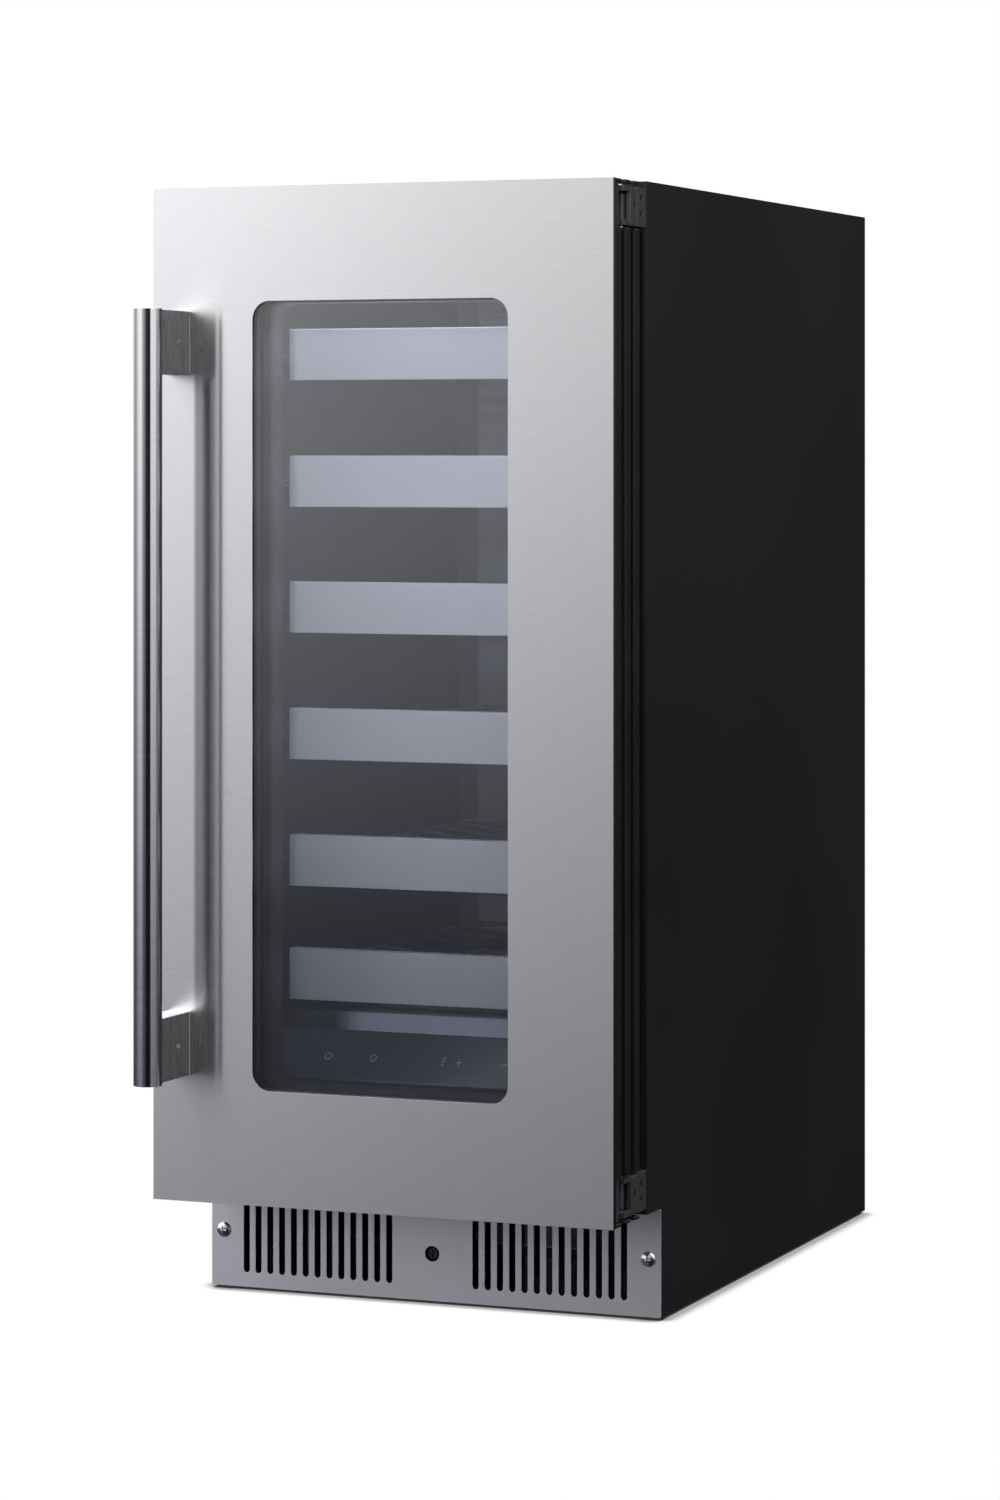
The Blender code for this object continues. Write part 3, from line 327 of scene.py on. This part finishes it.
def moulded(name, colour, rough_low, rough_high, pebble=0.0012, height=0.00002, patch=0.12, **settings):
    """Paint or plastic with a pebbled skin and soft patches of handling."""
    material, tree, shader = new_material(name, **settings)
    skin = place_group(tree, skin_group, Pebble_Size=pebble, Patch_Size=patch)
    shade = remap(tree, skin.outputs["Patches"], 0.3, 0.7, 0.9, 1.1)
    tinted(tree, shader, colour, shade)
    gloss = remap(tree, skin.outputs["Patches"], 0.3, 0.7, rough_low, rough_high)
    tree.links.new(gloss, shader.inputs["Roughness"])
    relief(tree, shader, skin.outputs["Pebbles"], height)
    return material


print("material helpers ready")

# %% [markdown]
# The door sheet and the toe-kick are brushed across, so their hairlines run along X, and the handle's bar is
# brushed round and round as it turns on a belt. Such hairlines smear a reflection across themselves, here up
# and down: the shader's anisotropy does that. The posts have upright hairlines and are given the same
# smear. The trims are painted in a satin grey with a little metal in it.

# %% The metals
door_steel = brushed("door_steel", (0.62, 0.62, 0.63), (60.0, 60.0, 1800.0), 0.06, 0.16, 0.18, smear=0.98)
kick_steel = brushed("kick_steel", (0.52, 0.52, 0.56), (60.0, 60.0, 1800.0), 0.03, 0.25, 0.27, smear=0.90)
bar_steel = brushed("bar_steel", (0.62, 0.62, 0.63), (30.0, 30.0, 1200.0), 0.05, 0.10, 0.14, smear=0.85)
post_steel = brushed("post_steel", (0.80, 0.80, 0.83), (900.0, 900.0, 20.0), 0.18, 0.24, 0.32, smear=0.90)
trim_metal = brushed("trim_metal", (0.325, 0.33, 0.35), (10.0, 50.0, 900.0), 0.04, 0.50, 0.60)
trim_metal.node_tree.nodes["Principled BSDF"].inputs["Metallic"].default_value = 0.25
screw_steel = brushed("screw_steel", (0.60, 0.60, 0.62), (300.0, 300.0, 300.0), 0.08, 0.18, 0.30)
fin_metal = brushed("fin_metal", (0.70, 0.70, 0.71), (60.0, 60.0, 60.0), 0.10, 0.30, 0.45)
dark_screw = moulded("dark_screw", (0.035, 0.035, 0.037), 0.25, 0.40, 0.0006, Metallic=0.6)
hinge_steel = moulded("hinge_steel", (0.060, 0.061, 0.067), 0.30, 0.42, 0.0007, 0.000004, Metallic=0.5)
print("metals:", door_steel.name, kick_steel.name, bar_steel.name, trim_metal.name)

# %% [markdown]
# The cabinet is sheet steel with a flat black powder coat. The door's frame is black plastic, and the chamber
# inside is a charcoal moulding. The gasket is soft black rubber, dull and slightly dusty.

# %% Paint, plastic, rubber and foam
black_paint = moulded("black_paint", (0.0085, 0.0085, 0.0094), 0.50, 0.60, 0.0009, 0.000008, 0.25,
                      Specular_IOR_Level=0.10)
frame_plastic = moulded("frame_plastic", (0.007, 0.007, 0.0075), 0.36, 0.46, 0.0010, 0.000004,
                        Specular_IOR_Level=0.25)
liner_plastic = moulded("liner_plastic", (0.085, 0.085, 0.097), 0.42, 0.52, 0.0014, 0.000004)
wire_coat = moulded("wire_coat", (0.030, 0.030, 0.032), 0.25, 0.35, 0.0010, 0.00001)
seal_rubber = moulded("seal_rubber", (0.016, 0.016, 0.017), 0.55, 0.75, 0.0008, 0.00002)
foam_skin = moulded("foam_skin", (0.74, 0.62, 0.36), 0.80, 0.95, 0.0022, 0.0003)
print("paint and plastics:", black_paint.name, frame_plastic.name, liner_plastic.name)

# %% [markdown]
# The panes are lightly tinted float glass. Light that falls through them on to the shelves would be lost with
# a plain glass shader, because a renderer doesn't trace shadows through it. So for shadow rays only, the
# pane counts as a nearly clear sheet.

# %% Glass
def pane_glass(name, tint, ior):
    """Glass that lets light through to what is behind it."""
    material, tree, shader = new_material(name, Transmission_Weight=1.0, IOR=ior)
    skin = place_group(tree, skin_group, Pebble_Size=0.4, Patch_Size=0.10)
    tinted(tree, shader, tint, remap(tree, skin.outputs["Patches"], 0.3, 0.7, 0.98, 1.0))
    shader.inputs["Roughness"].default_value = 0.0
    clear = tree.nodes.new("ShaderNodeBsdfTransparent")
    clear.inputs["Color"].default_value = (0.96, 0.96, 0.97, 1.0)
    ray = tree.nodes.new("ShaderNodeLightPath")
    mix = tree.nodes.new("ShaderNodeMixShader")
    tree.links.new(ray.outputs["Is Shadow Ray"], mix.inputs["Fac"])
    tree.links.new(shader.outputs["BSDF"], mix.inputs[1])
    tree.links.new(clear.outputs["BSDF"], mix.inputs[2])
    tree.links.new(mix.outputs["Shader"], tree.nodes["Material Output"].inputs["Surface"])
    return material


outer_glass = pane_glass("outer_glass", (0.86, 0.87, 0.90), 1.58)
inner_glass = pane_glass("inner_glass", (0.92, 0.93, 0.95), 1.52)
print("glass:", outer_glass.name, inner_glass.name)

# %% The lamp strip's material
lamp_glow, tree, shader = new_material("lamp_glow", Roughness=0.3, Emission_Strength=150.0)
skin = place_group(tree, skin_group, Pebble_Size=0.004, Patch_Size=0.02)
tinted(tree, shader, (0.85, 0.88, 1.0), remap(tree, skin.outputs["Patches"], 0.3, 0.7, 0.9, 1.0))
shader.inputs["Emission Color"].default_value = (0.80, 0.87, 1.0, 1.0)
print("lamp:", lamp_glow.name)

# %% [markdown]
# The control panel is one gloss black moulding. Along its upright top edge lies a paler bluish strip, a painted
# highlight, which fades in from the left and is a little less glossy. The fade is a mask over X, and the strip's
# lower edge is a mask over Z.

# %% The control panel's material
panel_low, panel_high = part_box("control_panel")
panel_finish, tree, shader = new_material("panel_finish", Specular_IOR_Level=0.6)
skin = place_group(tree, skin_group, Pebble_Size=0.003, Patch_Size=0.06)
axes = tree.nodes.new("ShaderNodeTexCoord")
split = tree.nodes.new("ShaderNodeSeparateXYZ")
tree.links.new(axes.outputs["Object"], split.inputs[0])
# The paler strip is a painted highlight: its colour stands in for the light that the top edge catches.
fade_start = -0.084
fade_end = -0.060
fade = remap(tree, split.outputs["X"], fade_start, fade_end, 0.0, 1.0)
painted_highlight_height = 0.0142
painted_highlight_bottom = panel_high[2] - painted_highlight_height
soft_edge = 0.0004
edge = remap(tree, split.outputs["Z"], painted_highlight_bottom - soft_edge, painted_highlight_bottom + soft_edge, 0.0, 1.0)
strip = math_node(tree, "MULTIPLY", fade, edge)
mix = tree.nodes.new("ShaderNodeMix")
mix.data_type = "RGBA"
tree.links.new(strip, mix.inputs["Factor"])
mix.inputs["A"].default_value = (0.020, 0.021, 0.026, 1.0)
# The pale bluish colour of the painted highlight.
mix.inputs["B"].default_value = (0.24, 0.25, 0.31, 1.0)
tree.links.new(mix.outputs["Result"], shader.inputs["Base Color"])
gloss = math_node(tree, "ADD", remap(tree, skin.outputs["Patches"], 0.3, 0.7, 0.14, 0.22),
                  math_node(tree, "MULTIPLY", strip, 0.2))
tree.links.new(gloss, shader.inputs["Roughness"])
relief(tree, shader, skin.outputs["Pebbles"], 0.000004)
print("painted_highlight strip above z =", round(painted_highlight_bottom, 4))

# %% [markdown]
# ## Dress the solid parts
# The table says, for each part, how far its edges are rounded and which finish it takes. Parts with edges
# that are already round, or too small to round, have a width of 0. The panes, the foam and a few hidden parts
# keep their own mesh, and only take a finish.

# %% Eased copies of what shows
eased_parts = [
    ("door_panel", 0.0005, door_steel),
    ("door_frame", 0.0005, frame_plastic),
    ("toe_kick_grille", 0.0003, kick_steel),
    ("handle_bar", 0.0, bar_steel),
    ("handle_post_top", 0.0, post_steel),
    ("handle_post_bottom", 0.0, post_steel),
    ("set_screw_top", 0.0003, screw_steel),
    ("set_screw_bottom", 0.0003, screw_steel),
    ("side_panel_left", 0.0004, black_paint),
    ("side_panel_right", 0.0004, black_paint),
    ("top_panel", 0.0004, black_paint),
    ("back_panel", 0.0004, black_paint),
    ("compressor_cover", 0.0003, black_paint),
    ("base_tray", 0.0004, black_paint),
    ("inner_liner", 0.0006, liner_plastic),
    ("evaporator_cover", 0.0, liner_plastic),
    ("control_panel", 0.0006, panel_finish),
    ("led_strip", 0.0, lamp_glow),
    ("hinge_bracket_top", 0.0004, hinge_steel),
    ("hinge_bracket_bottom", 0.0004, hinge_steel),
    ("hinge_leaf_top", 0.0004, hinge_steel),
    ("hinge_leaf_bottom", 0.0004, hinge_steel),
    ("shelf_rail_left", 0.0004, frame_plastic),
    ("shelf_rail_right", 0.0004, frame_plastic),
    ("grille_screw_left", 0.0, screw_steel),
    ("grille_screw_right", 0.0, screw_steel),
    ("grille_screw_centre", 0.0, dark_screw),
    ("power_inlet", 0.0005, frame_plastic),
    ("condenser_fan_housing", 0.0005, frame_plastic),
    ("condenser_fan", 0.0, wire_coat),
    ("circulation_fan", 0.0, wire_coat),
    ("compressor", 0.0, black_paint),
    ("drip_tray", 0.0, frame_plastic),
]
for number in shelf_numbers:
    eased_parts.append((f"shelf_trim_{number}", 0.0, trim_metal))
for place in ("front_left", "front_right", "rear_left", "rear_right"):
    eased_parts.append((f"foot_{place}", 0.0, frame_plastic))
for name, width, material in eased_parts:
    eased(name, width, material)
print(len(eased_parts), "parts with a finished copy")

# %% Finishes on the parts that keep their own mesh
plain_parts = {
    "door_glass_outer": outer_glass,
    "door_glass_inner": inner_glass,
    "glass_spacer": frame_plastic,
    "circulation_fan_motor": frame_plastic,
    "condenser": wire_coat,
    "evaporator": fin_metal,
    "foam_left": foam_skin,
    "foam_right": foam_skin,
    "foam_top": foam_skin,
    "foam_rear": foam_skin,
}
for name, material in plain_parts.items():
    for slot in nodes[name].material_slots:
        slot.material = material
    if not nodes[name].material_slots:
        paint(nodes[name], material)
print(len(plain_parts), "parts keep their own mesh")

# %% [markdown]
# ## The door's gasket
# A magnetic gasket is an extruded rubber section: a flat face towards the cabinet, a bellows that folds as
# the door closes, and a foot that clips into the door. The same section runs round four sides with mitred
# corners. A flat closed curve with a profile curve as its bevel does this in one go.

# %% Gasket
gasket_low, gasket_high = (Vector(corner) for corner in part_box("door_gasket"))
section_data = bpy.data.curves.new("gasket_section", "CURVE")
section_data.dimensions = "2D"
spline = section_data.splines.new("POLY")
depth = gasket_high.y - gasket_low.y
magnet_half = 0.0068
magnet_thickness = 0.0036
bellows = [(0.0044, depth - 0.0050), (0.0058, depth - 0.0072), (0.0034, depth - 0.0096)]
foot = [(0.0040, 0.0012), (0.0036, 0.0)]
half_section = [(magnet_half, depth), (magnet_half, depth - magnet_thickness)] + bellows + foot
outline = half_section + [(-u, v) for u, v in reversed(half_section)]
spline.points.add(len(outline) - 1)
for point, (u, v) in zip(spline.points, outline):
    point.co = (u, v - depth / 2, 0, 1)
spline.use_cyclic_u = True
section = bpy.data.objects.new("gasket_section", section_data)
bpy.context.scene.collection.objects.link(section)

path_data = bpy.data.curves.new("door_gasket_bellows", "CURVE")
path_data.dimensions = "2D"
path_data.fill_mode = "NONE"
path = path_data.splines.new("POLY")
middle = (gasket_low + gasket_high) / 2
half_width = 0.007
reach_x = (gasket_high.x - gasket_low.x) / 2 - half_width
reach_z = (gasket_high.z - gasket_low.z) / 2 - half_width
corners = [(-reach_x, -reach_z), (reach_x, -reach_z), (reach_x, reach_z), (-reach_x, reach_z)]
path.points.add(len(corners) - 1)
for point, (u, v) in zip(path.points, corners):
    point.co = (u, v, 0, 1)
path.use_cyclic_u = True
path_data.bevel_mode = "OBJECT"
path_data.bevel_object = section
gasket = bpy.data.objects.new("door_gasket_bellows", path_data)
bpy.context.scene.collection.objects.link(gasket)
gasket.rotation_euler = (math.radians(-90), 0, 0)
gasket.location = middle
gasket = into_mesh(gasket)
bpy.data.objects.remove(section, do_unlink=True)
outwards(gasket)
bpy.ops.object.shade_smooth_by_angle(angle=math.radians(50))
paint(gasket, seal_rubber)
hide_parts("door_gasket")
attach(gasket, "door")
lip = [abs(vertex.co.x) for vertex in gasket.data.vertices if vertex.co.y > gasket_high.y - 0.0001]
print("gasket spans", [round(side, 4) for side in gasket.dimensions])
print("its magnet face reaches x =", round(max(lip), 4))

# %% [markdown]
# ## Wire racks
# Each shelf is a welded rack of coated round wire: a frame, and cross wires that dip wherever a bottle lies.
# Wires are the natural job of a curve with a round bevel. One rack is drawn, made into a mesh, and copied
# to the other five shelves, each with its own mesh.

# %% One rack of wire
def wire_path(curve, points, closed=False):
    """Adds one wire through these points."""
    wire = curve.splines.new("POLY")
    wire.points.add(len(points) - 1)
    for point, place in zip(wire.points, points):
        point.co = (*place, 1)
    wire.use_cyclic_u = closed


rack_low, rack_high = (Vector(corner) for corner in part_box("shelf_rack_1"))
wire_radius = 0.0020
frame_corner = 0.012
cross_wires = 9
wire_steps = 60
cradles = 3
dip = 0.006
runner_x = 0.0455
rack_data = bpy.data.curves.new("rack_wire_1", "CURVE")
rack_data.dimensions = "3D"
rack_data.bevel_depth = wire_radius
rack_data.bevel_resolution = 2
rack_data.use_fill_caps = True
left, right = rack_low.x + wire_radius, rack_high.x - wire_radius
front, rear = rack_low.y + wire_radius, rack_high.y - wire_radius
level = (rack_low.z + rack_high.z) / 2
inner_left, inner_right = left + frame_corner, right - frame_corner
inner_front, inner_rear = front + frame_corner, rear - frame_corner
loop = []
for centre_x, centre_y, start in ((inner_right, inner_rear, 0), (inner_left, inner_rear, 90),
                                  (inner_left, inner_front, 180), (inner_right, inner_front, 270)):
    for step in range(7):
        angle = math.radians(start + 15 * step)
        loop.append((centre_x + frame_corner * math.cos(angle),
                     centre_y + frame_corner * math.sin(angle), level))
wire_path(rack_data, loop, closed=True)
for row in range(cross_wires):
    y = front + (rear - front) * (row + 0.7) / (cross_wires + 0.4)
    points = []
    for step in range(wire_steps + 1):
        share = step / wire_steps
        wave = 0.5 - 0.5 * math.cos(2 * math.pi * cradles * share)
        points.append((left + (right - left) * share, y, level - dip * wave))
    wire_path(rack_data, points)
runner_level = level - 0.0005
for x in (-runner_x, runner_x):
    wire_path(rack_data, [(x, y, runner_level) for y in (front, (front + rear) / 2, rear)])
rack = bpy.data.objects.new("rack_wire_1", rack_data)
bpy.context.scene.collection.objects.link(rack)
rack = into_mesh(rack)
outwards(rack)
bpy.ops.object.shade_smooth_by_angle(angle=math.radians(60))
paint(rack, wire_coat)
print("one rack has", len(rack.data.polygons), "faces")

# %% The other five racks
for number in shelf_numbers:
    if number == 1:
        copy = rack
    else:
        copy = bpy.data.objects.new(f"rack_wire_{number}", rack.data.copy())
        bpy.context.scene.collection.objects.link(copy)
        shift = Vector(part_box(f"shelf_rack_{number}")[0]) - rack_low
        copy.data.transform(Matrix.Translation(shift))
    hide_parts(f"shelf_rack_{number}")
    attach(copy, f"shelf_{number}")
print("six racks of wire")

# %% [markdown]
# ## Touch icons
# The controls are touch keys marked only by thin grey lines in the gloss panel: power, lamp, unit, warmer and
# colder. They are drawn as thin tubes on a flat curve, then tilted on to the panel's slope, and given a faint
# bluish painted glow.

# %% Icons
slope_depth = 0.0320
slope_foot = Vector((0.0, panel_low[1], 0.1745))
slope_top = Vector((0.0, panel_low[1] + slope_depth, 0.2090))
tilt = math.atan2(slope_top.z - slope_foot.z, slope_top.y - slope_foot.y)
line_radius = 0.00018
icon_data = bpy.data.curves.new("touch_icons", "CURVE")
icon_data.dimensions = "3D"
icon_data.bevel_depth = line_radius
icon_data.bevel_resolution = 1
icon_data.use_fill_caps = True


def arc(centre_x, centre_y, radius, start, end, steps=20):
    """Points along part of a circle, in the panel's own plane."""
    return [
        (centre_x + radius * math.cos(math.radians(start + (end - start) * i / steps)),
         centre_y + radius * math.sin(math.radians(start + (end - start) * i / steps)), 0)
        for i in range(steps + 1)
    ]


power_x, lamp_x, unit_x, warmer_x, colder_x = -0.082, -0.044, 0.015, 0.028, 0.067
arm = 0.003
socket_half, socket_top, socket_foot = 0.0014, -0.0012, -0.0030
wire_path(icon_data, arc(power_x, 0.0, arm, 125, 415))
wire_path(icon_data, [(power_x, 0.0008, 0), (power_x, 0.0042, 0)])
wire_path(icon_data, arc(lamp_x, 0.0008, 0.0024, -55, 235))
wire_path(icon_data, [(lamp_x - socket_half, socket_top, 0), (lamp_x - socket_half, socket_foot, 0),
                      (lamp_x + socket_half, socket_foot, 0), (lamp_x + socket_half, socket_top, 0)])
for lift in (-arm, 0.0, arm):
    wire_path(icon_data, arc(unit_x, lift, 0.0005, 0, 360, 8))
wire_path(icon_data, [(warmer_x - arm, 0, 0), (warmer_x + arm, 0, 0)])
wire_path(icon_data, [(warmer_x, -arm, 0), (warmer_x, arm, 0)])
wire_path(icon_data, [(colder_x - arm, 0, 0), (colder_x + arm, 0, 0)])
icons = bpy.data.objects.new("touch_icons", icon_data)
bpy.context.scene.collection.objects.link(icons)
icons.rotation_euler = (tilt, 0, 0)
icons.location = slope_foot.lerp(slope_top, 0.46)
icons = into_mesh(icons)
icon_grey_painted_glow = moulded("icon_grey_painted_glow", (0.30, 0.31, 0.36), 0.35, 0.45, 0.0008)
icon_shader = icon_grey_painted_glow.node_tree.nodes["Principled BSDF"]
# The lines are no lamp: this faint bluish emission is a painted glow.
icon_shader.inputs["Emission Color"].default_value = (0.55, 0.60, 0.72, 1.0)
icon_shader.inputs["Emission Strength"].default_value = 0.12
paint(icons, icon_grey_painted_glow)
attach(icons, "cabinet")
print("icons on a slope of", round(math.degrees(tilt), 1), "degrees")

# %% [markdown]
# ## Hinge rivets
# Each hinge pin is peened over at both ends into a small bright head. A head is a short cylinder whose outer
# face is inset and raised twice, and the four heads are the same piece in four places.

# %% Rivet heads
rivet_radius = 0.0038
rivet_height = 0.0014
rivet_insets = ((0.0013, 0.0005), (0.0012, 0.0002))


def rivet(name, x, y, z, outer):
    """A domed head at the end of a hinge pin, on its upper side where outer is 1 and its lower side at -1."""
    bpy.ops.object.select_all(action="DESELECT")
    bpy.ops.mesh.primitive_cylinder_add(vertices=32, radius=rivet_radius, depth=rivet_height,
                                        location=(x, y, z + outer * rivet_height / 2))
    head = bpy.context.object
    head.name = name
    head = into_mesh(head)
    bpy.ops.object.mode_set(mode="EDIT")
    bpy.ops.mesh.select_all(action="DESELECT")
    bpy.ops.object.mode_set(mode="OBJECT")
    for face in head.data.polygons:
        face.select = face.normal.z * outer > 0.9
    bpy.ops.object.mode_set(mode="EDIT")
    bpy.ops.mesh.select_mode(type="FACE")
    for inwards, raised in rivet_insets:
        bpy.ops.mesh.inset(thickness=inwards, depth=raised)
    bpy.ops.object.mode_set(mode="OBJECT")
    outwards(head)
    bpy.ops.object.shade_smooth_by_angle(angle=math.radians(40))
    paint(head, screw_steel)
    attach(head, "cabinet")


door_joint = next(joint for joint in frame["joints"] if joint["name"] == "door_hinge")
pin_x, pin_y = door_joint["pos_m"][:2]
for place in ("top", "bottom"):
    low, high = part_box(f"hinge_bracket_{place}")
    rivet(f"hinge_rivet_{place}_upper", pin_x, pin_y, high[2], 1)
    rivet(f"hinge_rivet_{place}_lower", pin_x, pin_y, low[2], -1)
print("four rivets at x =", round(pin_x, 4), "y =", round(pin_y, 4))

# %% [markdown]
# ## Floor and light
# The cooler stands in a white studio. Everything around it is a gradient in the world, by compass direction
# and by height: brightest overhead, bright at the left front and on the right, dark at the right front and
# the right rear, and dim below the horizon. The steel door mirrors only a small piece of it, so the stops
# lie close together there. The camera sees plain white.

# %% World
world = bpy.data.worlds.new("studio")
bpy.context.scene.world = world
world.use_nodes = True
tree = world.node_tree
tree.nodes.clear()
place = tree.nodes.new("ShaderNodeTexCoord")
split = tree.nodes.new("ShaderNodeSeparateXYZ")
tree.links.new(place.outputs["Generated"], split.inputs[0])
west = math_node(tree, "MULTIPLY", split.outputs["X"], -1.0)
compass = math_node(tree, "ARCTAN2", west, split.outputs["Y"])
turns = math_node(tree, "FRACT", math_node(tree, "DIVIDE", compass, 2 * math.pi))


def ramp(tree, value, stops):
    """A colour ramp of greys, or of colours, at the given places."""
    node = tree.nodes.new("ShaderNodeValToRGB")
    elements = node.color_ramp.elements
    while len(elements) > 1:
        elements.remove(elements[-1])
    for index, (position, level) in enumerate(stops):
        element = elements[0] if index == 0 else elements.new(position)
        element.position = position
        element.color = (*level, 1.0) if isinstance(level, tuple) else (level, level, level, 1.0)
    tree.links.new(value, node.inputs["Fac"])
    return node.outputs["Color"]


rear_and_left = [(0, 0.25), (30, 0.60), (66, 0.60), (96, 0.38), (110, 0.70), (121, 0.97)]
left_front = [(150, 1.20), (154, 1.06), (157, 0.80), (160, 0.67), (164, 0.56), (175, 0.30)]
right_front = [(184, 0.19), (190, 0.07), (196, 0.01), (224, 0.01)]
right_and_rear = [(230, 0.95), (240, 1.0), (272, 0.90), (282, 0.04), (320, 0.02), (350, 0.03)]
round_about = rear_and_left + left_front + right_front + right_and_rear
by_compass = ramp(tree, turns, [(degrees / 360, level) for degrees, level in round_about])
below = [(-90, (0.02, 0.02, 0.025)), (-20, (0.035, 0.036, 0.042)), (-9, (0.028, 0.029, 0.038)),
         (-6, (0.074, 0.077, 0.092)), (-3.2, (0.195, 0.198, 0.216)), (0, (0.345, 0.347, 0.358))]
above = [(3.5, (0.490, 0.490, 0.496)), (10, 0.72), (30, 0.85), (90, 1.0)]
up_down = below + above
height = math_node(tree, "MULTIPLY_ADD", split.outputs["Z"], 0.5, 0.5)
by_height = ramp(tree, height, [
    (0.5 + 0.5 * math.sin(math.radians(degrees)), level) for degrees, level in up_down
])
compass_until = 0.15
overhead_from = 0.75
overhead = remap(tree, split.outputs["Z"], compass_until, overhead_from, 0.0, 1.0)
compass_share = tree.nodes.new("ShaderNodeMix")
compass_share.data_type = "RGBA"
tree.links.new(overhead, compass_share.inputs["Factor"])
tree.links.new(by_compass, compass_share.inputs["A"])
compass_share.inputs["B"].default_value = (1.0, 1.0, 1.0, 1.0)
product = tree.nodes.new("ShaderNodeMix")
product.data_type = "RGBA"
product.blend_type = "MULTIPLY"
product.inputs["Factor"].default_value = 1.0
tree.links.new(compass_share.outputs["Result"], product.inputs["A"])
tree.links.new(by_height, product.inputs["B"])
light = tree.nodes.new("ShaderNodeBackground")
world_strength = 3.0
light.inputs["Strength"].default_value = world_strength
tree.links.new(product.outputs["Result"], light.inputs["Color"])
plain = tree.nodes.new("ShaderNodeBackground")
plain.inputs["Color"].default_value = (1.0, 1.0, 1.0, 1.0)
ray = tree.nodes.new("ShaderNodeLightPath")
either = tree.nodes.new("ShaderNodeMixShader")
tree.links.new(ray.outputs["Is Camera Ray"], either.inputs["Fac"])
tree.links.new(light.outputs["Background"], either.inputs[1])
tree.links.new(plain.outputs["Background"], either.inputs[2])
output = tree.nodes.new("ShaderNodeOutputWorld")
tree.links.new(either.outputs["Shader"], output.inputs["Surface"])
print("world with", len(round_about), "stops round and", len(up_down), "stops up")

# %% [markdown]
# The floor is a white sweep that glows evenly white, with no shadow but a painted contact shadow: a thin dark
# line where the object stands. An Ambient Occlusion node finds what is close above the floor, and darkens the
# white glow there. Only the camera sees the floor, so that it throws no light up on the black sides.

# %% Floor
painted_shadow_reach = 0.018
painted_shadow_darkest = 0.03
bpy.ops.object.select_all(action="DESELECT")
bpy.ops.mesh.primitive_plane_add(size=30.0, location=(0, 0, 0))
floor = bpy.context.object
floor.name = "floor"
floor_white, tree, shader = new_material("floor_white", Roughness=1.0, Specular_IOR_Level=0.0)
shader.inputs["Base Color"].default_value = (0.0, 0.0, 0.0, 1.0)
shader.inputs["Emission Strength"].default_value = 1.0
closeness = tree.nodes.new("ShaderNodeAmbientOcclusion")
closeness.samples = 16
closeness.inputs["Distance"].default_value = painted_shadow_reach
# The darkened white near the object is a painted shadow, not one cast by a light.
painted_contact_shadow = remap(tree, closeness.outputs["AO"], 0.50, 0.90, painted_shadow_darkest, 1.0)
tree.links.new(painted_contact_shadow, shader.inputs["Emission Color"])
unseen = tree.nodes.new("ShaderNodeBsdfTransparent")
ray = tree.nodes.new("ShaderNodeLightPath")
either = tree.nodes.new("ShaderNodeMixShader")
tree.links.new(ray.outputs["Is Camera Ray"], either.inputs["Fac"])
tree.links.new(unseen.outputs["BSDF"], either.inputs[1])
tree.links.new(shader.outputs["BSDF"], either.inputs[2])
tree.links.new(either.outputs["Shader"], tree.nodes["Material Output"].inputs["Surface"])
paint(floor, floor_white)
print("floor", floor.name)

# %% [markdown]
# One real lamp adds to the gradient: a soft spot in front, a little above the door and aimed at its top, so
# that the shelves are brightest there. It shines into the chamber through the glass. It is hidden from
# reflections and from sight through the glass, because the handle and the panes would show it as a bright
# patch.

# %% Spot
spot = bpy.data.lights.new("fill", "SPOT")
spot.energy = 220.0
spot.spot_size = math.radians(42)
spot.spot_blend = 1.0
spot.shadow_soft_size = 0.25
fill = bpy.data.objects.new("fill", spot)
bpy.context.scene.collection.objects.link(fill)
fill.location = (0.42, -1.90, 1.00)
aim = Vector((0.0, -0.20, 0.86)) - fill.location
fill.rotation_euler = aim.to_track_quat("-Z", "Y").to_euler()
fill.visible_glossy = False
fill.visible_camera = False
fill.visible_transmission = False
print("lamp:", fill.name, "over", round(math.degrees(spot.spot_size)), "degrees")

# %% [markdown]
# ## Camera
# The camera stands level, about three and a half metres away at the right front, with a long lens. Because
# it is level, upright edges stay upright, and the frame is moved down with a vertical shift instead of by
# tilting.

# %% Camera
camera_data = bpy.data.cameras.new("camera")
camera_data.lens = 107.3
camera_data.sensor_width = 36.0
camera_data.sensor_fit = "AUTO"
camera_data.shift_y = -0.1975
camera_data.clip_end = 60.0
camera = bpy.data.objects.new("camera", camera_data)
bpy.context.scene.collection.objects.link(camera)
camera.location = (1.3384, -3.3841, 0.6604)
camera.rotation_euler = (math.radians(90), 0, math.radians(21.79))
bpy.context.scene.camera = camera
bpy.context.scene.view_settings.view_transform = "Standard"
print("camera at", [round(v, 3) for v in camera.location])
